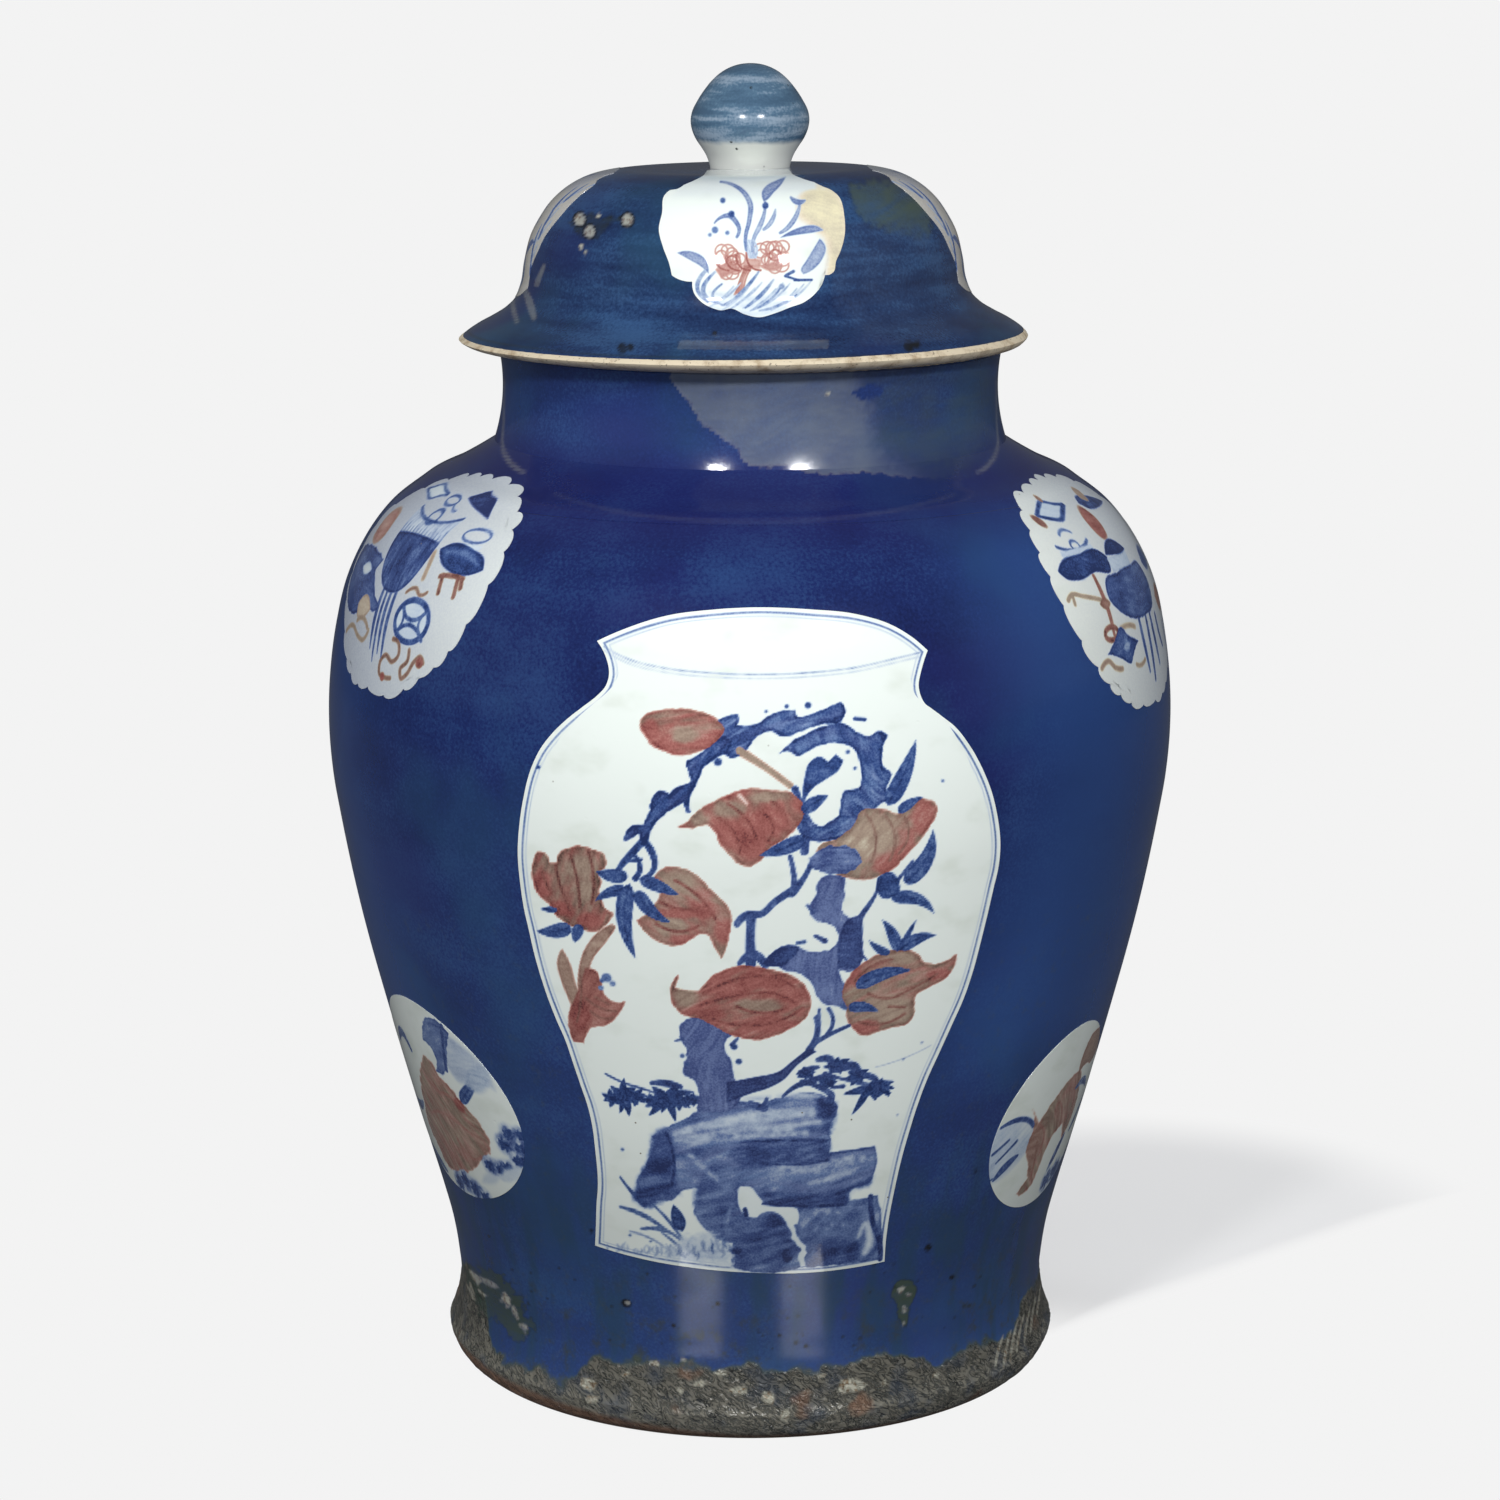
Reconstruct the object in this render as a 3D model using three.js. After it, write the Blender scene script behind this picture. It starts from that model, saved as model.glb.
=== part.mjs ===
// A Chinese lidded baluster jar (potiche), thrown in sections that are luted together, with a loose domed cover.
// Millimetres, +Z up, origin on the table at the middle of the foot.
import * as THREE from 'three';

// Heights of the four thrown sections of the jar, stacked from the table up
const footHeight = 36;
const lowerBodyHeight = 205;
const upperBodyHeight = 172.5;
const neckHeight = 60.5;

// Where the outline turns within its section
const footSwellHeight = 14;
const footNeckHeight = 24;
const bellyAboveSeam = 64;
const collarAboveSeam = 18.5;
const neckWaistBelowRim = 16;

// Radii of the jar's outline at the seams and turns
const footRadius = 134.1;
const footSwellRadius = 142.6;
const footNeckRadius = 139.1;
const waistRadius = 137.3;
const bellyRadius = 193.9;
const shoulderSeamRadius = 150;
const collarRadius = 116.6;
const neckWaistRadius = 112.5;
const rimRadius = 114;

// How the wall leaves the waist and the belly: share of the height, then share of the radius, between the two
const lowerWallShares = [[0.11, 0.06], [0.256, 0.246], [0.461, 0.514], [0.684, 0.779], [0.907, 0.972]];
const shoulderShares = [[0.23, 0.03], [0.415, 0.1], [0.581, 0.203], [0.71, 0.342], [0.82, 0.51], [0.894, 0.663]];
const collarShares = [[0.08, 0.06], [0.46, 0.49]];
const footSwellShares = [[0.43, 0.647]];

// Clay thickness
const lowerWall = 10;
const upperWall = 8;
const neckWall = 7.5;
const rimRounding = 1.5;
const footRingWidth = 16;
const footChamfer = 1.2;
const footRecess = 7;
const footRecessSlope = 2.5;
const baseThickness = 15;
const floorCurveWidth = 27;
const floorCurveShares = [[0.55, 0.2], [0.85, 0.55]];

// Cover: a bell-shaped dome with an everted brim, measured up from the rim that it rests on
const brimRadius = 129;
const brimEdgeHeight = 2.6;
const brimEdgeDepth = 1.6;
const brimEdgeDraft = 1.5;
const brimSeatOverhang = 4.5;
const domeWallRadius = 98.9;
const domeWallHeight = 39;
const domeHeight = 79.5;
const domeFlatRadius = 45;
const domeWall = 6.5;
const brimShares = [[0.13, 0.79], [0.24, 0.55], [0.37, 0.31], [0.5, 0.16], [0.7, 0.06]];
const crownShares = [[0.31, 0.063], [0.475, 0.13], [0.645, 0.22], [0.8, 0.35], [0.92, 0.517], [0.985, 0.72]];
const wellRadius = 94.5;
const wellHeight = 24;

// The cover's flange is a ring luted under the dome, which drops into the mouth with play
const flangePlay = 4;
const flangeWall = 6;
const flangeDepth = 18;
const flangeTaper = 0.8;
const flangeEdge = 1.2;

// The cover sits off centre in that play, and its finial was luted off the dome's centre
const coverShift = -3;
const finialShift = 3;

// Finial: a hollow bud on a short collar
const finialHeight = 46.5;
const finialRadius = 26.7;
const finialRadiusHeight = 21;
const finialCollarRadius = 17.9;
const finialCollarHeight = 6;
const finialCollarFlare = 1.9;
const finialWall = 8;
const cavityShoulderShares = [0.5, 0.25];
const finialSwellShares = [[0.2, 0.26], [0.467, 0.65], [0.73, 0.9]];
const finialTipShares = [[0.16, 0.978], [0.353, 0.888], [0.55, 0.764], [0.706, 0.64], [0.863, 0.461], [0.97, 0.23]];
const ventRadius = 4;
const ventClearance = 1;

// How near the two heights lie that a wall's slope is taken between, as a share of the wall's height
const slopeStepShare = 0.001;

// Facets: how many round the axis, and the tallest ring of them
const turns = 60;
const tallestRing = 28;

const cobaltGlaze = { color: 0x1d2f74, roughness: 0.12, metalness: 0 };
const paleCobaltGlaze = { color: 0x5f7fa6, roughness: 0.15, metalness: 0 };
const firedClay = { color: 0xcdbfa3, roughness: 0.75, metalness: 0 };

// Points between two points of an outline, by their shares of the height and radius between them
function between(low, high, shares) {
  return shares.map(([height, radius]) => [
    low[0] + (high[0] - low[0]) * height,
    low[1] + (high[1] - low[1]) * radius,
  ]);
}

// A smooth wall through [height, radius] points: the radius at any height, and its slope
function smoothWall(points) {
  const slopeAt = (i) => {
    const before = points[Math.max(i - 1, 0)];
    const after = points[Math.min(i + 1, points.length - 1)];
    return (after[1] - before[1]) / (after[0] - before[0]);
  };
  const slopes = points.map((mark, i) => slopeAt(i));
  const stretch = (height) => {
    const found = points.findIndex((mark, i) => i > 0 && height <= mark[0]);
    return found < 0 ? points.length - 1 : found;
  };
  const radius = (height) => {
    const i = stretch(height);
    const [lowHeight, lowRadius] = points[i - 1];
    const [highHeight, highRadius] = points[i];
    const span = highHeight - lowHeight;
    const t = (height - lowHeight) / span;
    const rise = highRadius - lowRadius;
    const ease = t * t * (3 - 2 * t);
    const leave = t * (1 - t) * (1 - t) * slopes[i - 1] * span;
    const arrive = t * t * (t - 1) * slopes[i] * span;
    return lowRadius + rise * ease + leave + arrive;
  };
  const slope = (height) => {
    const last = points[points.length - 1][0];
    const step = (last - points[0][0]) * slopeStepShare;
    const low = Math.max(height - step, points[0][0]);
    const high = Math.min(height + step, last);
    return (radius(high) - radius(low)) / (high - low);
  };
  return { points, radius, slope };
}

// The heights at which a wall is drawn between two heights: its own points, with more where they lie far apart
function drawnHeights(wall, low, high) {
  const own = wall.points.map((mark) => mark[0]).filter((height) => height > low && height < high);
  const heights = [low];
  for (const next of [...own, high]) {
    const start = heights[heights.length - 1];
    const steps = Math.ceil((next - start) / tallestRing);
    for (let step = 1; step < steps; step += 1) heights.push(start + ((next - start) * step) / steps);
    heights.push(next);
  }
  return heights;
}

// Heights of the seams, the rim and the outline's turns above the table
const waistHeight = footHeight;
const middleSeamHeight = waistHeight + lowerBodyHeight;
const shoulderSeamHeight = middleSeamHeight + upperBodyHeight;
const rimHeight = shoulderSeamHeight + neckHeight;
const bellyHeight = middleSeamHeight + bellyAboveSeam;
const collarHeight = shoulderSeamHeight + collarAboveSeam;
const neckWaistHeight = rimHeight - neckWaistBelowRim;

// The outside of the jar, from the table to the rim
const footBottom = [0, footRadius];
const footSwell = [footSwellHeight, footSwellRadius];
const footNeck = [footNeckHeight, footNeckRadius];
const waist = [waistHeight, waistRadius];
const belly = [bellyHeight, bellyRadius];
const shoulderSeam = [shoulderSeamHeight, shoulderSeamRadius];
const collar = [collarHeight, collarRadius];
const neckWaist = [neckWaistHeight, neckWaistRadius];
const rim = [rimHeight, rimRadius];
const outside = smoothWall([
  footBottom, ...between(footBottom, footSwell, footSwellShares), footSwell, footNeck,
  waist, ...between(waist, belly, lowerWallShares),
  belly, ...between(belly, shoulderSeam, shoulderShares),
  shoulderSeam, ...between(shoulderSeam, collar, collarShares),
  collar, neckWaist, rim,
]);

// Clay thickness at a height, which thins from the waist to the shoulder and again to the rim
function wallAt(height) {
  const marks = [[waistHeight, lowerWall], [bellyHeight, upperWall], [rimHeight, neckWall]];
  const next = marks.findIndex((mark) => height <= mark[0]);
  if (next === 0) return lowerWall;
  const [lowHeight, low] = marks[next - 1];
  const [highHeight, high] = marks[next];
  return low + ((high - low) * (height - lowHeight)) / (highHeight - lowHeight);
}

// The inside keeps that thickness square to the wall, so it lies further in where the shoulder leans
function insideRadius(height) {
  return outside.radius(height) - wallAt(height) * Math.hypot(1, outside.slope(height));
}

const point = (radius, height) => new THREE.Vector2(radius, height);

// A closed or axis-to-axis outline, turned round the vertical axis
function thrown(name, outline, look, x = 0) {
  const geometry = new THREE.LatheGeometry(outline, turns);
  geometry.rotateX(Math.PI / 2);
  const mesh = new THREE.Mesh(geometry, new THREE.MeshStandardMaterial(look));
  mesh.name = name;
  mesh.position.x = x;
  return mesh;
}

// A band of the jar's wall between two seams. Its outline runs up the outside and down the inside.
function wallBand(name, low, high, look) {
  const heights = drawnHeights(outside, low, high);
  const up = heights.map((height) => point(outside.radius(height), height));
  const down = [...heights].reverse().map((height) => point(insideRadius(height), height));
  return thrown(name, [...up, ...down, up[0].clone()], look);
}

// The foot: a ring to stand on, a recessed base, and the floor, which curves up into the wall
function footSection() {
  const ringInner = footRadius - footRingWidth;
  const floorHeight = footRecess + baseThickness;
  const seamInner = insideRadius(waistHeight);
  const floorEdge = seamInner - floorCurveWidth;
  const wallFoot = [floorHeight, floorEdge];
  const seam = [waistHeight, seamInner];
  const curve = floorCurveShares.map(([across, up]) => point(
    floorEdge + (seam[1] - wallFoot[1]) * across,
    floorHeight + (seam[0] - wallFoot[0]) * up,
  ));
  const outline = [
    point(0, footRecess),
    point(ringInner - footRecessSlope, footRecess),
    point(ringInner, 0),
    point(footRadius - footChamfer, 0),
    ...drawnHeights(outside, footChamfer, waistHeight).map((height) => point(outside.radius(height), height)),
    point(seamInner, waistHeight),
    ...curve.reverse(),
    point(floorEdge, floorHeight),
    point(0, floorHeight),
  ];
  return thrown('foot_section', outline, cobaltGlaze);
}

// The neck rises from the shoulder seam to a flat bare rim with rounded edges
function neck() {
  const shoulderLine = rimHeight - rimRounding;
  const heights = drawnHeights(outside, shoulderSeamHeight, shoulderLine);
  const up = heights.map((height) => point(outside.radius(height), height));
  const down = [...heights].reverse().map((height) => point(insideRadius(height), height));
  const rimOuter = outside.radius(shoulderLine) - rimRounding;
  const rimInner = insideRadius(shoulderLine) + rimRounding;
  const top = [point(rimOuter, rimHeight), point(rimInner, rimHeight)];
  return thrown('neck', [...up, ...top, ...down, up[0].clone()], cobaltGlaze);
}

// The dome's outside, as [height, radius] from the brim's upper edge to the flat crown
const brimTopHeight = rimHeight + brimEdgeHeight + 2 * brimEdgeDepth;
const brimTop = [brimTopHeight, brimRadius - brimEdgeDraft];
const domeSide = [rimHeight + domeWallHeight, domeWallRadius];
const crownHeight = rimHeight + domeHeight;
const crown = [crownHeight, domeFlatRadius];
const brimCurve = brimShares.map(([up, out]) => [
  brimTop[0] + (domeSide[0] - brimTop[0]) * up,
  domeSide[1] + (brimTop[1] - domeSide[1]) * out,
]);
const domeOutline = [brimTop, ...brimCurve, domeSide, ...between(domeSide, crown, crownShares), crown];

// The same outline moved in by the clay's thickness, square to itself, above the well
function domeInside() {
  return domeOutline.flatMap(([height, radius], i) => {
    const before = domeOutline[Math.max(i - 1, 0)];
    const after = domeOutline[Math.min(i + 1, domeOutline.length - 1)];
    const along = point(after[1] - before[1], after[0] - before[0]).normalize();
    const inner = point(radius - along.y * domeWall, height + along.x * domeWall);
    return inner.y > rimHeight + wellHeight && inner.x < wellRadius ? [inner] : [];
  });
}

// The dome, with a flat seat under its brim, a well inside it, and a vent under the finial
function coverDome() {
  const seatRadius = rimRadius + brimSeatOverhang;
  const edgeHeight = rimHeight + brimEdgeHeight;
  const ceiling = crownHeight - domeWall;
  const outline = [
    point(seatRadius, rimHeight),
    point(brimRadius - brimEdgeDraft, edgeHeight),
    point(brimRadius, edgeHeight + brimEdgeDepth),
    ...domeOutline.map(([height, radius]) => point(radius, height)),
    point(ventRadius, crownHeight),
    point(ventRadius, ceiling),
    ...domeInside().reverse(),
    point(wellRadius, rimHeight + wellHeight),
    point(wellRadius, rimHeight),
    point(seatRadius, rimHeight),
  ];
  return thrown('cover_dome', outline, cobaltGlaze, coverShift);
}

// The flange hangs from the dome's seat into the jar's mouth
function coverFlange() {
  const mouth = insideRadius(neckWaistHeight);
  const outer = mouth - flangePlay;
  const inner = outer - flangeWall;
  const bottom = rimHeight - flangeDepth;
  const outline = [
    point(inner, bottom + flangeEdge),
    point(inner + flangeEdge, bottom),
    point(outer - flangeTaper - flangeEdge, bottom),
    point(outer - flangeTaper, bottom + flangeEdge),
    point(outer, rimHeight),
    point(inner, rimHeight),
    point(inner, bottom + flangeEdge),
  ];
  return thrown('cover_flange', outline, firedClay, coverShift);
}

// The finial: a collar that swells to a bud and closes to a rounded tip, hollow down to the vent
function finial() {
  const seat = [crownHeight, finialCollarRadius];
  const collarTop = [crownHeight + finialCollarHeight, finialCollarRadius + finialCollarFlare];
  const widest = [crownHeight + finialRadiusHeight, finialRadius];
  const tipHeight = crownHeight + finialHeight;
  const tip = finialTipShares.map(([up, out]) => point(
    finialRadius * out,
    widest[0] + (tipHeight - widest[0]) * up,
  ));
  const mouth = ventRadius + Math.abs(finialShift) + ventClearance;
  const cavity = finialRadius - finialWall;
  const outline = [
    point(mouth, crownHeight),
    point(seat[1], seat[0]),
    point(collarTop[1], collarTop[0]),
    ...between(collarTop, widest, finialSwellShares).map(([height, radius]) => point(radius, height)),
    point(widest[1], widest[0]),
    ...tip,
    point(0, tipHeight),
  ];
  const [across, drop] = cavityShoulderShares;
  const hollow = [
    point(0, tipHeight - finialWall),
    point(cavity * across, tipHeight - finialWall - cavity * drop),
    point(cavity, widest[0]),
    point(mouth, collarTop[0]),
    point(mouth, crownHeight),
  ];
  return thrown('finial', [...hollow, ...outline.slice(1)], paleCobaltGlaze, coverShift + finialShift);
}

const jar = new THREE.Group();
jar.add(
  footSection(),
  wallBand('lower_body', waistHeight, middleSeamHeight, cobaltGlaze),
  wallBand('upper_body', middleSeamHeight, shoulderSeamHeight, cobaltGlaze),
  neck(),
);

const cover = new THREE.Group();
cover.add(coverDome(), coverFlange(), finial());

const potiche = new THREE.Group();
potiche.add(jar, cover);

export default potiche;
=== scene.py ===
# Potiche: a lidded porcelain baluster jar with a powder-blue ground and painted panels held in reserve
import math

import bpy
import numpy as np
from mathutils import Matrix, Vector


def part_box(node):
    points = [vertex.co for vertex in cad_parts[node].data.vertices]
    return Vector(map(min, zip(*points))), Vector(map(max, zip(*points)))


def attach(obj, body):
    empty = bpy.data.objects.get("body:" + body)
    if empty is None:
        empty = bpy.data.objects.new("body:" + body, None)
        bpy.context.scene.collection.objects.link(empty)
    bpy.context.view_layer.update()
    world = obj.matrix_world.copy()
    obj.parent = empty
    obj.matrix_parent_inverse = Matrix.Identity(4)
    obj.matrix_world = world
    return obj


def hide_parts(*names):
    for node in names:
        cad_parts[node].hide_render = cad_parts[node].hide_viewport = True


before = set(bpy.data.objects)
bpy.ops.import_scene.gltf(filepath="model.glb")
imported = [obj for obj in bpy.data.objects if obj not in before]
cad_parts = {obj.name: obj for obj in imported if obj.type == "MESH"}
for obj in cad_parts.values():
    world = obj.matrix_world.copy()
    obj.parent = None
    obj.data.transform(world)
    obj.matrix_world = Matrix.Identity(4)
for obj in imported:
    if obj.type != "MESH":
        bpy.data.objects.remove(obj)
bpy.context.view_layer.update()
mm = 0.001


# Sums used all over

def toLinear(code):
    # sRGB hex to the linear colour that a node takes
    parts = [int(code[i:i + 2], 16) / 255 for i in (1, 3, 5)]
    return [p / 12.92 if p <= 0.04045 else ((p + 0.055) / 1.055) ** 2.4 for p in parts] + [1]


def ease(low, high, value):
    t = np.clip((value - low) / (high - low), 0, 1)
    return t * t * (3 - 2 * t)


def latticeValue(i, j, seed):
    # A steady pseudo-random number from 0 to 1 for each whole-number place
    i, j = np.asarray(i).astype(np.int64), np.asarray(j).astype(np.int64)
    h = (i * 374761393 + j * 668265263 + seed * 974711) & 0xFFFFFFFF
    h = ((h ^ (h >> 13)) * 1274126177) & 0xFFFFFFFF
    return ((h ^ (h >> 16)) & 0xFFFF) / 65535


def mottle(x, y, size, seed=0, octaves=2):
    # Smooth noise from 0 to 1 whose blots are about the given size across
    total, weight, share = 0, 0, 1
    for octave in range(octaves):
        i, j = np.floor(x / size), np.floor(y / size)
        u, v = ease(0, 1, x / size - i), ease(0, 1, y / size - j)
        corner = [latticeValue(i + a, j + b, seed + 31 * octave) for b in (0, 1) for a in (0, 1)]
        low, high = corner[0] + (corner[1] - corner[0]) * u, corner[2] + (corner[3] - corner[2]) * u
        total, weight = total + share * (low + (high - low) * v), weight + share
        size, share = size / 2.1, share / 2
    return total / weight


def smoothLine(marks, step, closed=False, sharp=180):
    # A smooth line through marks, about a step apart. It keeps corners that turn more than sharp degrees.
    marks = [np.array(m, float) for m in marks]
    n = len(marks)
    spans = n if closed else n - 1

    def tangent(i):
        if not closed and i in (0, n - 1):
            return None
        before, after = marks[i] - marks[i - 1], marks[(i + 1) % n] - marks[i]
        a, b = np.linalg.norm(before[:2]), np.linalg.norm(after[:2])
        turn = math.degrees(math.acos(np.clip(before[:2] @ after[:2] / max(a * b, 1e-9), -1, 1)))
        return None if turn > sharp else (before / a * b + after / b * a) / (a + b)

    line = []
    for i in range(spans):
        start, end = marks[i], marks[(i + 1) % n]
        length = np.linalg.norm((end - start)[:2])
        chord = (end - start) / length
        leave, arrive = tangent(i), tangent((i + 1) % n)
        if leave is None:
            leave = chord if arrive is None else 2 * chord - arrive
        if arrive is None:
            arrive = chord if tangent(i) is None else 2 * chord - leave
        for k in range(max(1, round(length / step))):
            t = k / max(1, round(length / step))
            curve = start + (end - start) * (t * t * (3 - 2 * t))
            line.append(curve + length * (t * (1 - t) ** 2 * leave - t * t * (1 - t) * arrive))
    return np.array(line if closed else line + [marks[-1]])


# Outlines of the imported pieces, in millimetres

coverAxis = sum(c.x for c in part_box("cover_dome")) / 2 / mm
finialAxis = sum(c.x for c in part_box("finial")) / 2 / mm


def outlineOf(nodeName, axis=0):
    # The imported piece's corners in the half plane right of its axis, as (radius, height), joined in order
    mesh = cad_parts[nodeName].data
    marks, links = {}, {}
    for v in mesh.vertices:
        if abs(v.co.y) < 0.002 * mm and v.co.x / mm - axis > -0.001:
            marks[v.index] = (round(v.co.x / mm - axis, 2), round(v.co.z / mm, 2))
    for edge in mesh.edges:
        a, b = (marks.get(i) for i in edge.vertices)
        if a and b and a != b:
            links.setdefault(a, set()).add(b)
            links.setdefault(b, set()).add(a)
    ends = [m for m in links if len(links[m]) == 1]
    path = [min(ends or links, key=lambda m: (m[1], 0 if ends else -m[0]))]
    while len(path) < len(links):
        onward = [m for m in links[path[-1]] if m not in path]
        path.append(max(onward, key=lambda m: m[0] + m[1] * 0.01))
    return path


axes = {"cover_dome": coverAxis, "cover_flange": coverAxis, "finial": finialAxis}
outlines = {name: outlineOf(name, axes.get(name, 0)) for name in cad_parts}


def risingSide(path):
    # The outside of one thrown section, from its lowest outer corner up to its highest
    low = max((m for m in path if m[1] == min(p[1] for p in path)), key=lambda m: m[0])
    side = [low]
    for mark in path[path.index(low) + 1:]:
        if mark[1] <= side[-1][1]:
            break
        side.append(mark)
    return side


jarSections = ["foot_section", "lower_body", "upper_body", "neck"]
sideMarks = []
for name in jarSections:
    sideMarks += [m for m in risingSide(outlines[name]) if m not in sideMarks]
footStep = 0.8    # mm between the rings on the foot, where the crust needs them
fineTop = 80      # mm up to which they are that close
wallCorner = 35   # degrees, the sharpest turn that the wall takes smoothly
domeCorner = 88   # and the cover
jarSide = smoothLine(sideMarks, 1.5, sharp=wallCorner)
lowSide = smoothLine(sideMarks, footStep, sharp=wallCorner)
jarSide = np.concatenate([lowSide[lowSide[:, 1] < fineTop], jarSide[jarSide[:, 1] >= fineTop + footStep]])
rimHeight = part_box("neck")[1].z / mm
crownMarks = risingSide(outlines["cover_dome"])


# How the fired clay departs from a true turned form

unevenness = {
    "sway": 0.3,         # mm that the wall leaves a true circle by
    "waves": ((1, 0.6, 90, 0.6), (2, 1.1, -60, 0.4)),   # of it: turns, start, mm of height per radian, share
    "brimTilt": 0.0105,  # rise of the cover per mm to the right, as it warped in the kiln
    "tiltFrom": 474.5,   # mm up
    "tiltFull": 481,
    "girth": 140,        # mm along the foot for each radian
    "crawlTop": 35,      # mm up to which the glaze on the foot crawled and blistered
    "crawlEdge": 9,      # mm over which it gives way, and as much again that the edge wanders
    # How its edge climbs, left and right (mm, where, how far round), and dips (mm, from where to where)
    "climbs": ((14, -1.25, 0.16), (5, 1.3, 0.14)),
    "dips": ((17, -1.12, -1.0, -0.66, -0.5), (8, 0.4, 0.7, 1.0, 1.2)),
    "wrinkle": 4.2,      # mm between the wrinkles
    "slant": 0.35,       # how far they climb round the foot
    "relief": 1.0,       # mm that they stand out
}


def swayAt(azimuth, height):
    u = unevenness
    waves = (np.sin(n * azimuth + start + height / rise) * part for n, start, rise, part in u["waves"])
    return u["sway"] * sum(waves)


def tiltAt(across, height):
    u = unevenness
    return u["brimTilt"] * across * ease(u["tiltFrom"], u["tiltFull"], height)


def crawlAt(azimuth, height):
    # Where the glaze crawled: 1 low on the foot. Its uneven edge climbs at both sides and dips before them.
    u = unevenness
    around, edge = azimuth * u["girth"], u["crawlEdge"]
    above = height - (u["crawlTop"] + edge * (mottle(around, height, 30, 5) - 0.5)
                      + edge * (mottle(around, height, 7, 6) - 0.5))
    for (climb, middle, wide), (dip, a, b, c, d) in zip(u["climbs"], u["dips"]):
        higher = climb * np.exp(-((azimuth - middle) / wide) ** 2)
        above = above - (higher - dip * ease(a, b, azimuth) * (1 - ease(c, d, azimuth)))
    return 1 - ease(-edge / 2, edge / 2, above)


def wrinkleAt(azimuth, height):
    # Ridges of the crawled glaze, slanting a little, from 0 in a furrow to 1 on a crest
    u = unevenness
    around = azimuth * u["girth"]
    slant = height + u["slant"] * around + 5 * mottle(around, height, 12, 11)
    ridge = 1 - np.abs(2 * mottle(around / 1.8, slant, u["wrinkle"], 12) - 1)
    blister = mottle(around, height, 2.4, 13, octaves=1)
    return np.clip(ridge * 0.75 + blister * 0.35, 0, 1)


def footBend(azimuth, radius, height):
    crawl = crawlAt(azimuth, height) * ease(1, 4, height)
    return swayAt(azimuth, height) + crawl * unevenness["relief"] * (wrinkleAt(azimuth, height) - 0.35), 0


def wallBend(azimuth, radius, height):
    return swayAt(azimuth, height), 0


def coverBend(azimuth, radius, height):
    return 0, tiltAt(radius * np.sin(azimuth), height)


# Meshes

def meshPiece(name, corners, faces, body, replaced, material, sharp=40):
    mesh = bpy.data.meshes.new(name)
    mesh.from_pydata((np.asarray(corners) * mm).tolist(), [], faces)
    mesh.validate()
    mesh.polygons.foreach_set("use_smooth", [True] * len(mesh.polygons))
    mesh.set_sharp_from_angle(angle=math.radians(sharp))
    mesh.materials.append(material)
    piece = bpy.data.objects.new(name, mesh)
    bpy.context.scene.collection.objects.link(piece)
    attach(piece, body)
    if replaced:
        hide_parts(*replaced)
    return piece


def turned(profile, around, axis=0, bend=None, measures=None):
    # Corners and faces of a form turned round a vertical axis, with what is measured at each corner
    radii, heights = np.asarray(profile)[:, 0], np.asarray(profile)[:, 1]
    angle = np.arange(around) * 2 * math.pi / around
    azimuth, radius = np.meshgrid(angle, radii)
    height = np.repeat(heights[:, None], around, 1)
    azimuth = (azimuth + math.pi) % (2 * math.pi) - math.pi
    shiftOut, shiftUp = bend(azimuth, radius, height) if bend else (0, 0)
    onAxis = radius < 0.01
    moved = np.where(onAxis, 0, radius + shiftOut)
    corners = np.stack([axis + moved * np.sin(azimuth), -moved * np.cos(azimuth), height + shiftUp], -1)
    number = np.arange(radius.size).reshape(radius.shape)
    number[onAxis] = np.repeat(number[:, :1], around, 1)[onAxis]
    ahead = np.roll(number, -1, 1)
    faces = []
    closed = not (onAxis[0, 0] or onAxis[-1, 0])
    for k in range(len(radii) - (0 if closed else 1)):
        after = (k + 1) % len(radii)
        ring = zip(number[k], ahead[k], ahead[after], number[after])
        faces += [list(dict.fromkeys(int(c) for c in face)) for face in ring]
    used, place = np.unique(number), np.zeros(number.size, int)
    place[used] = np.arange(len(used))
    faces = [[int(place[c]) for c in face] for face in faces]
    taken = {key: f(azimuth, radius, height).reshape(-1)[used] for key, f in (measures or {}).items()}
    return corners.reshape(-1, 3)[used], faces, taken


def addMeasures(piece, measures):
    for key, values in measures.items():
        data = piece.data.attributes.new(key, "FLOAT", "POINT").data
        data.foreach_set("value", np.asarray(values, np.float32))


# Camera, floor and studio light

view = {
    "distance": 1.8,       # metres in front of the jar's axis
    "height": 0.658,       # metres
    "lookDown": 11.685,    # degrees
    "lens": 95.06,         # mm, on a sensor 36 mm wide
    "sensor": 36,
}
camera = bpy.data.objects.new("photoCamera", bpy.data.cameras.new("photoCamera"))
bpy.context.scene.collection.objects.link(camera)
camera.location = (0, -view["distance"], view["height"])
camera.rotation_euler = (math.radians(90 - view["lookDown"]), 0, 0)
camera.data.lens, camera.data.sensor_width = view["lens"], view["sensor"]
bpy.context.scene.camera = camera
bpy.context.scene.view_settings.view_transform = "Standard"


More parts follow.
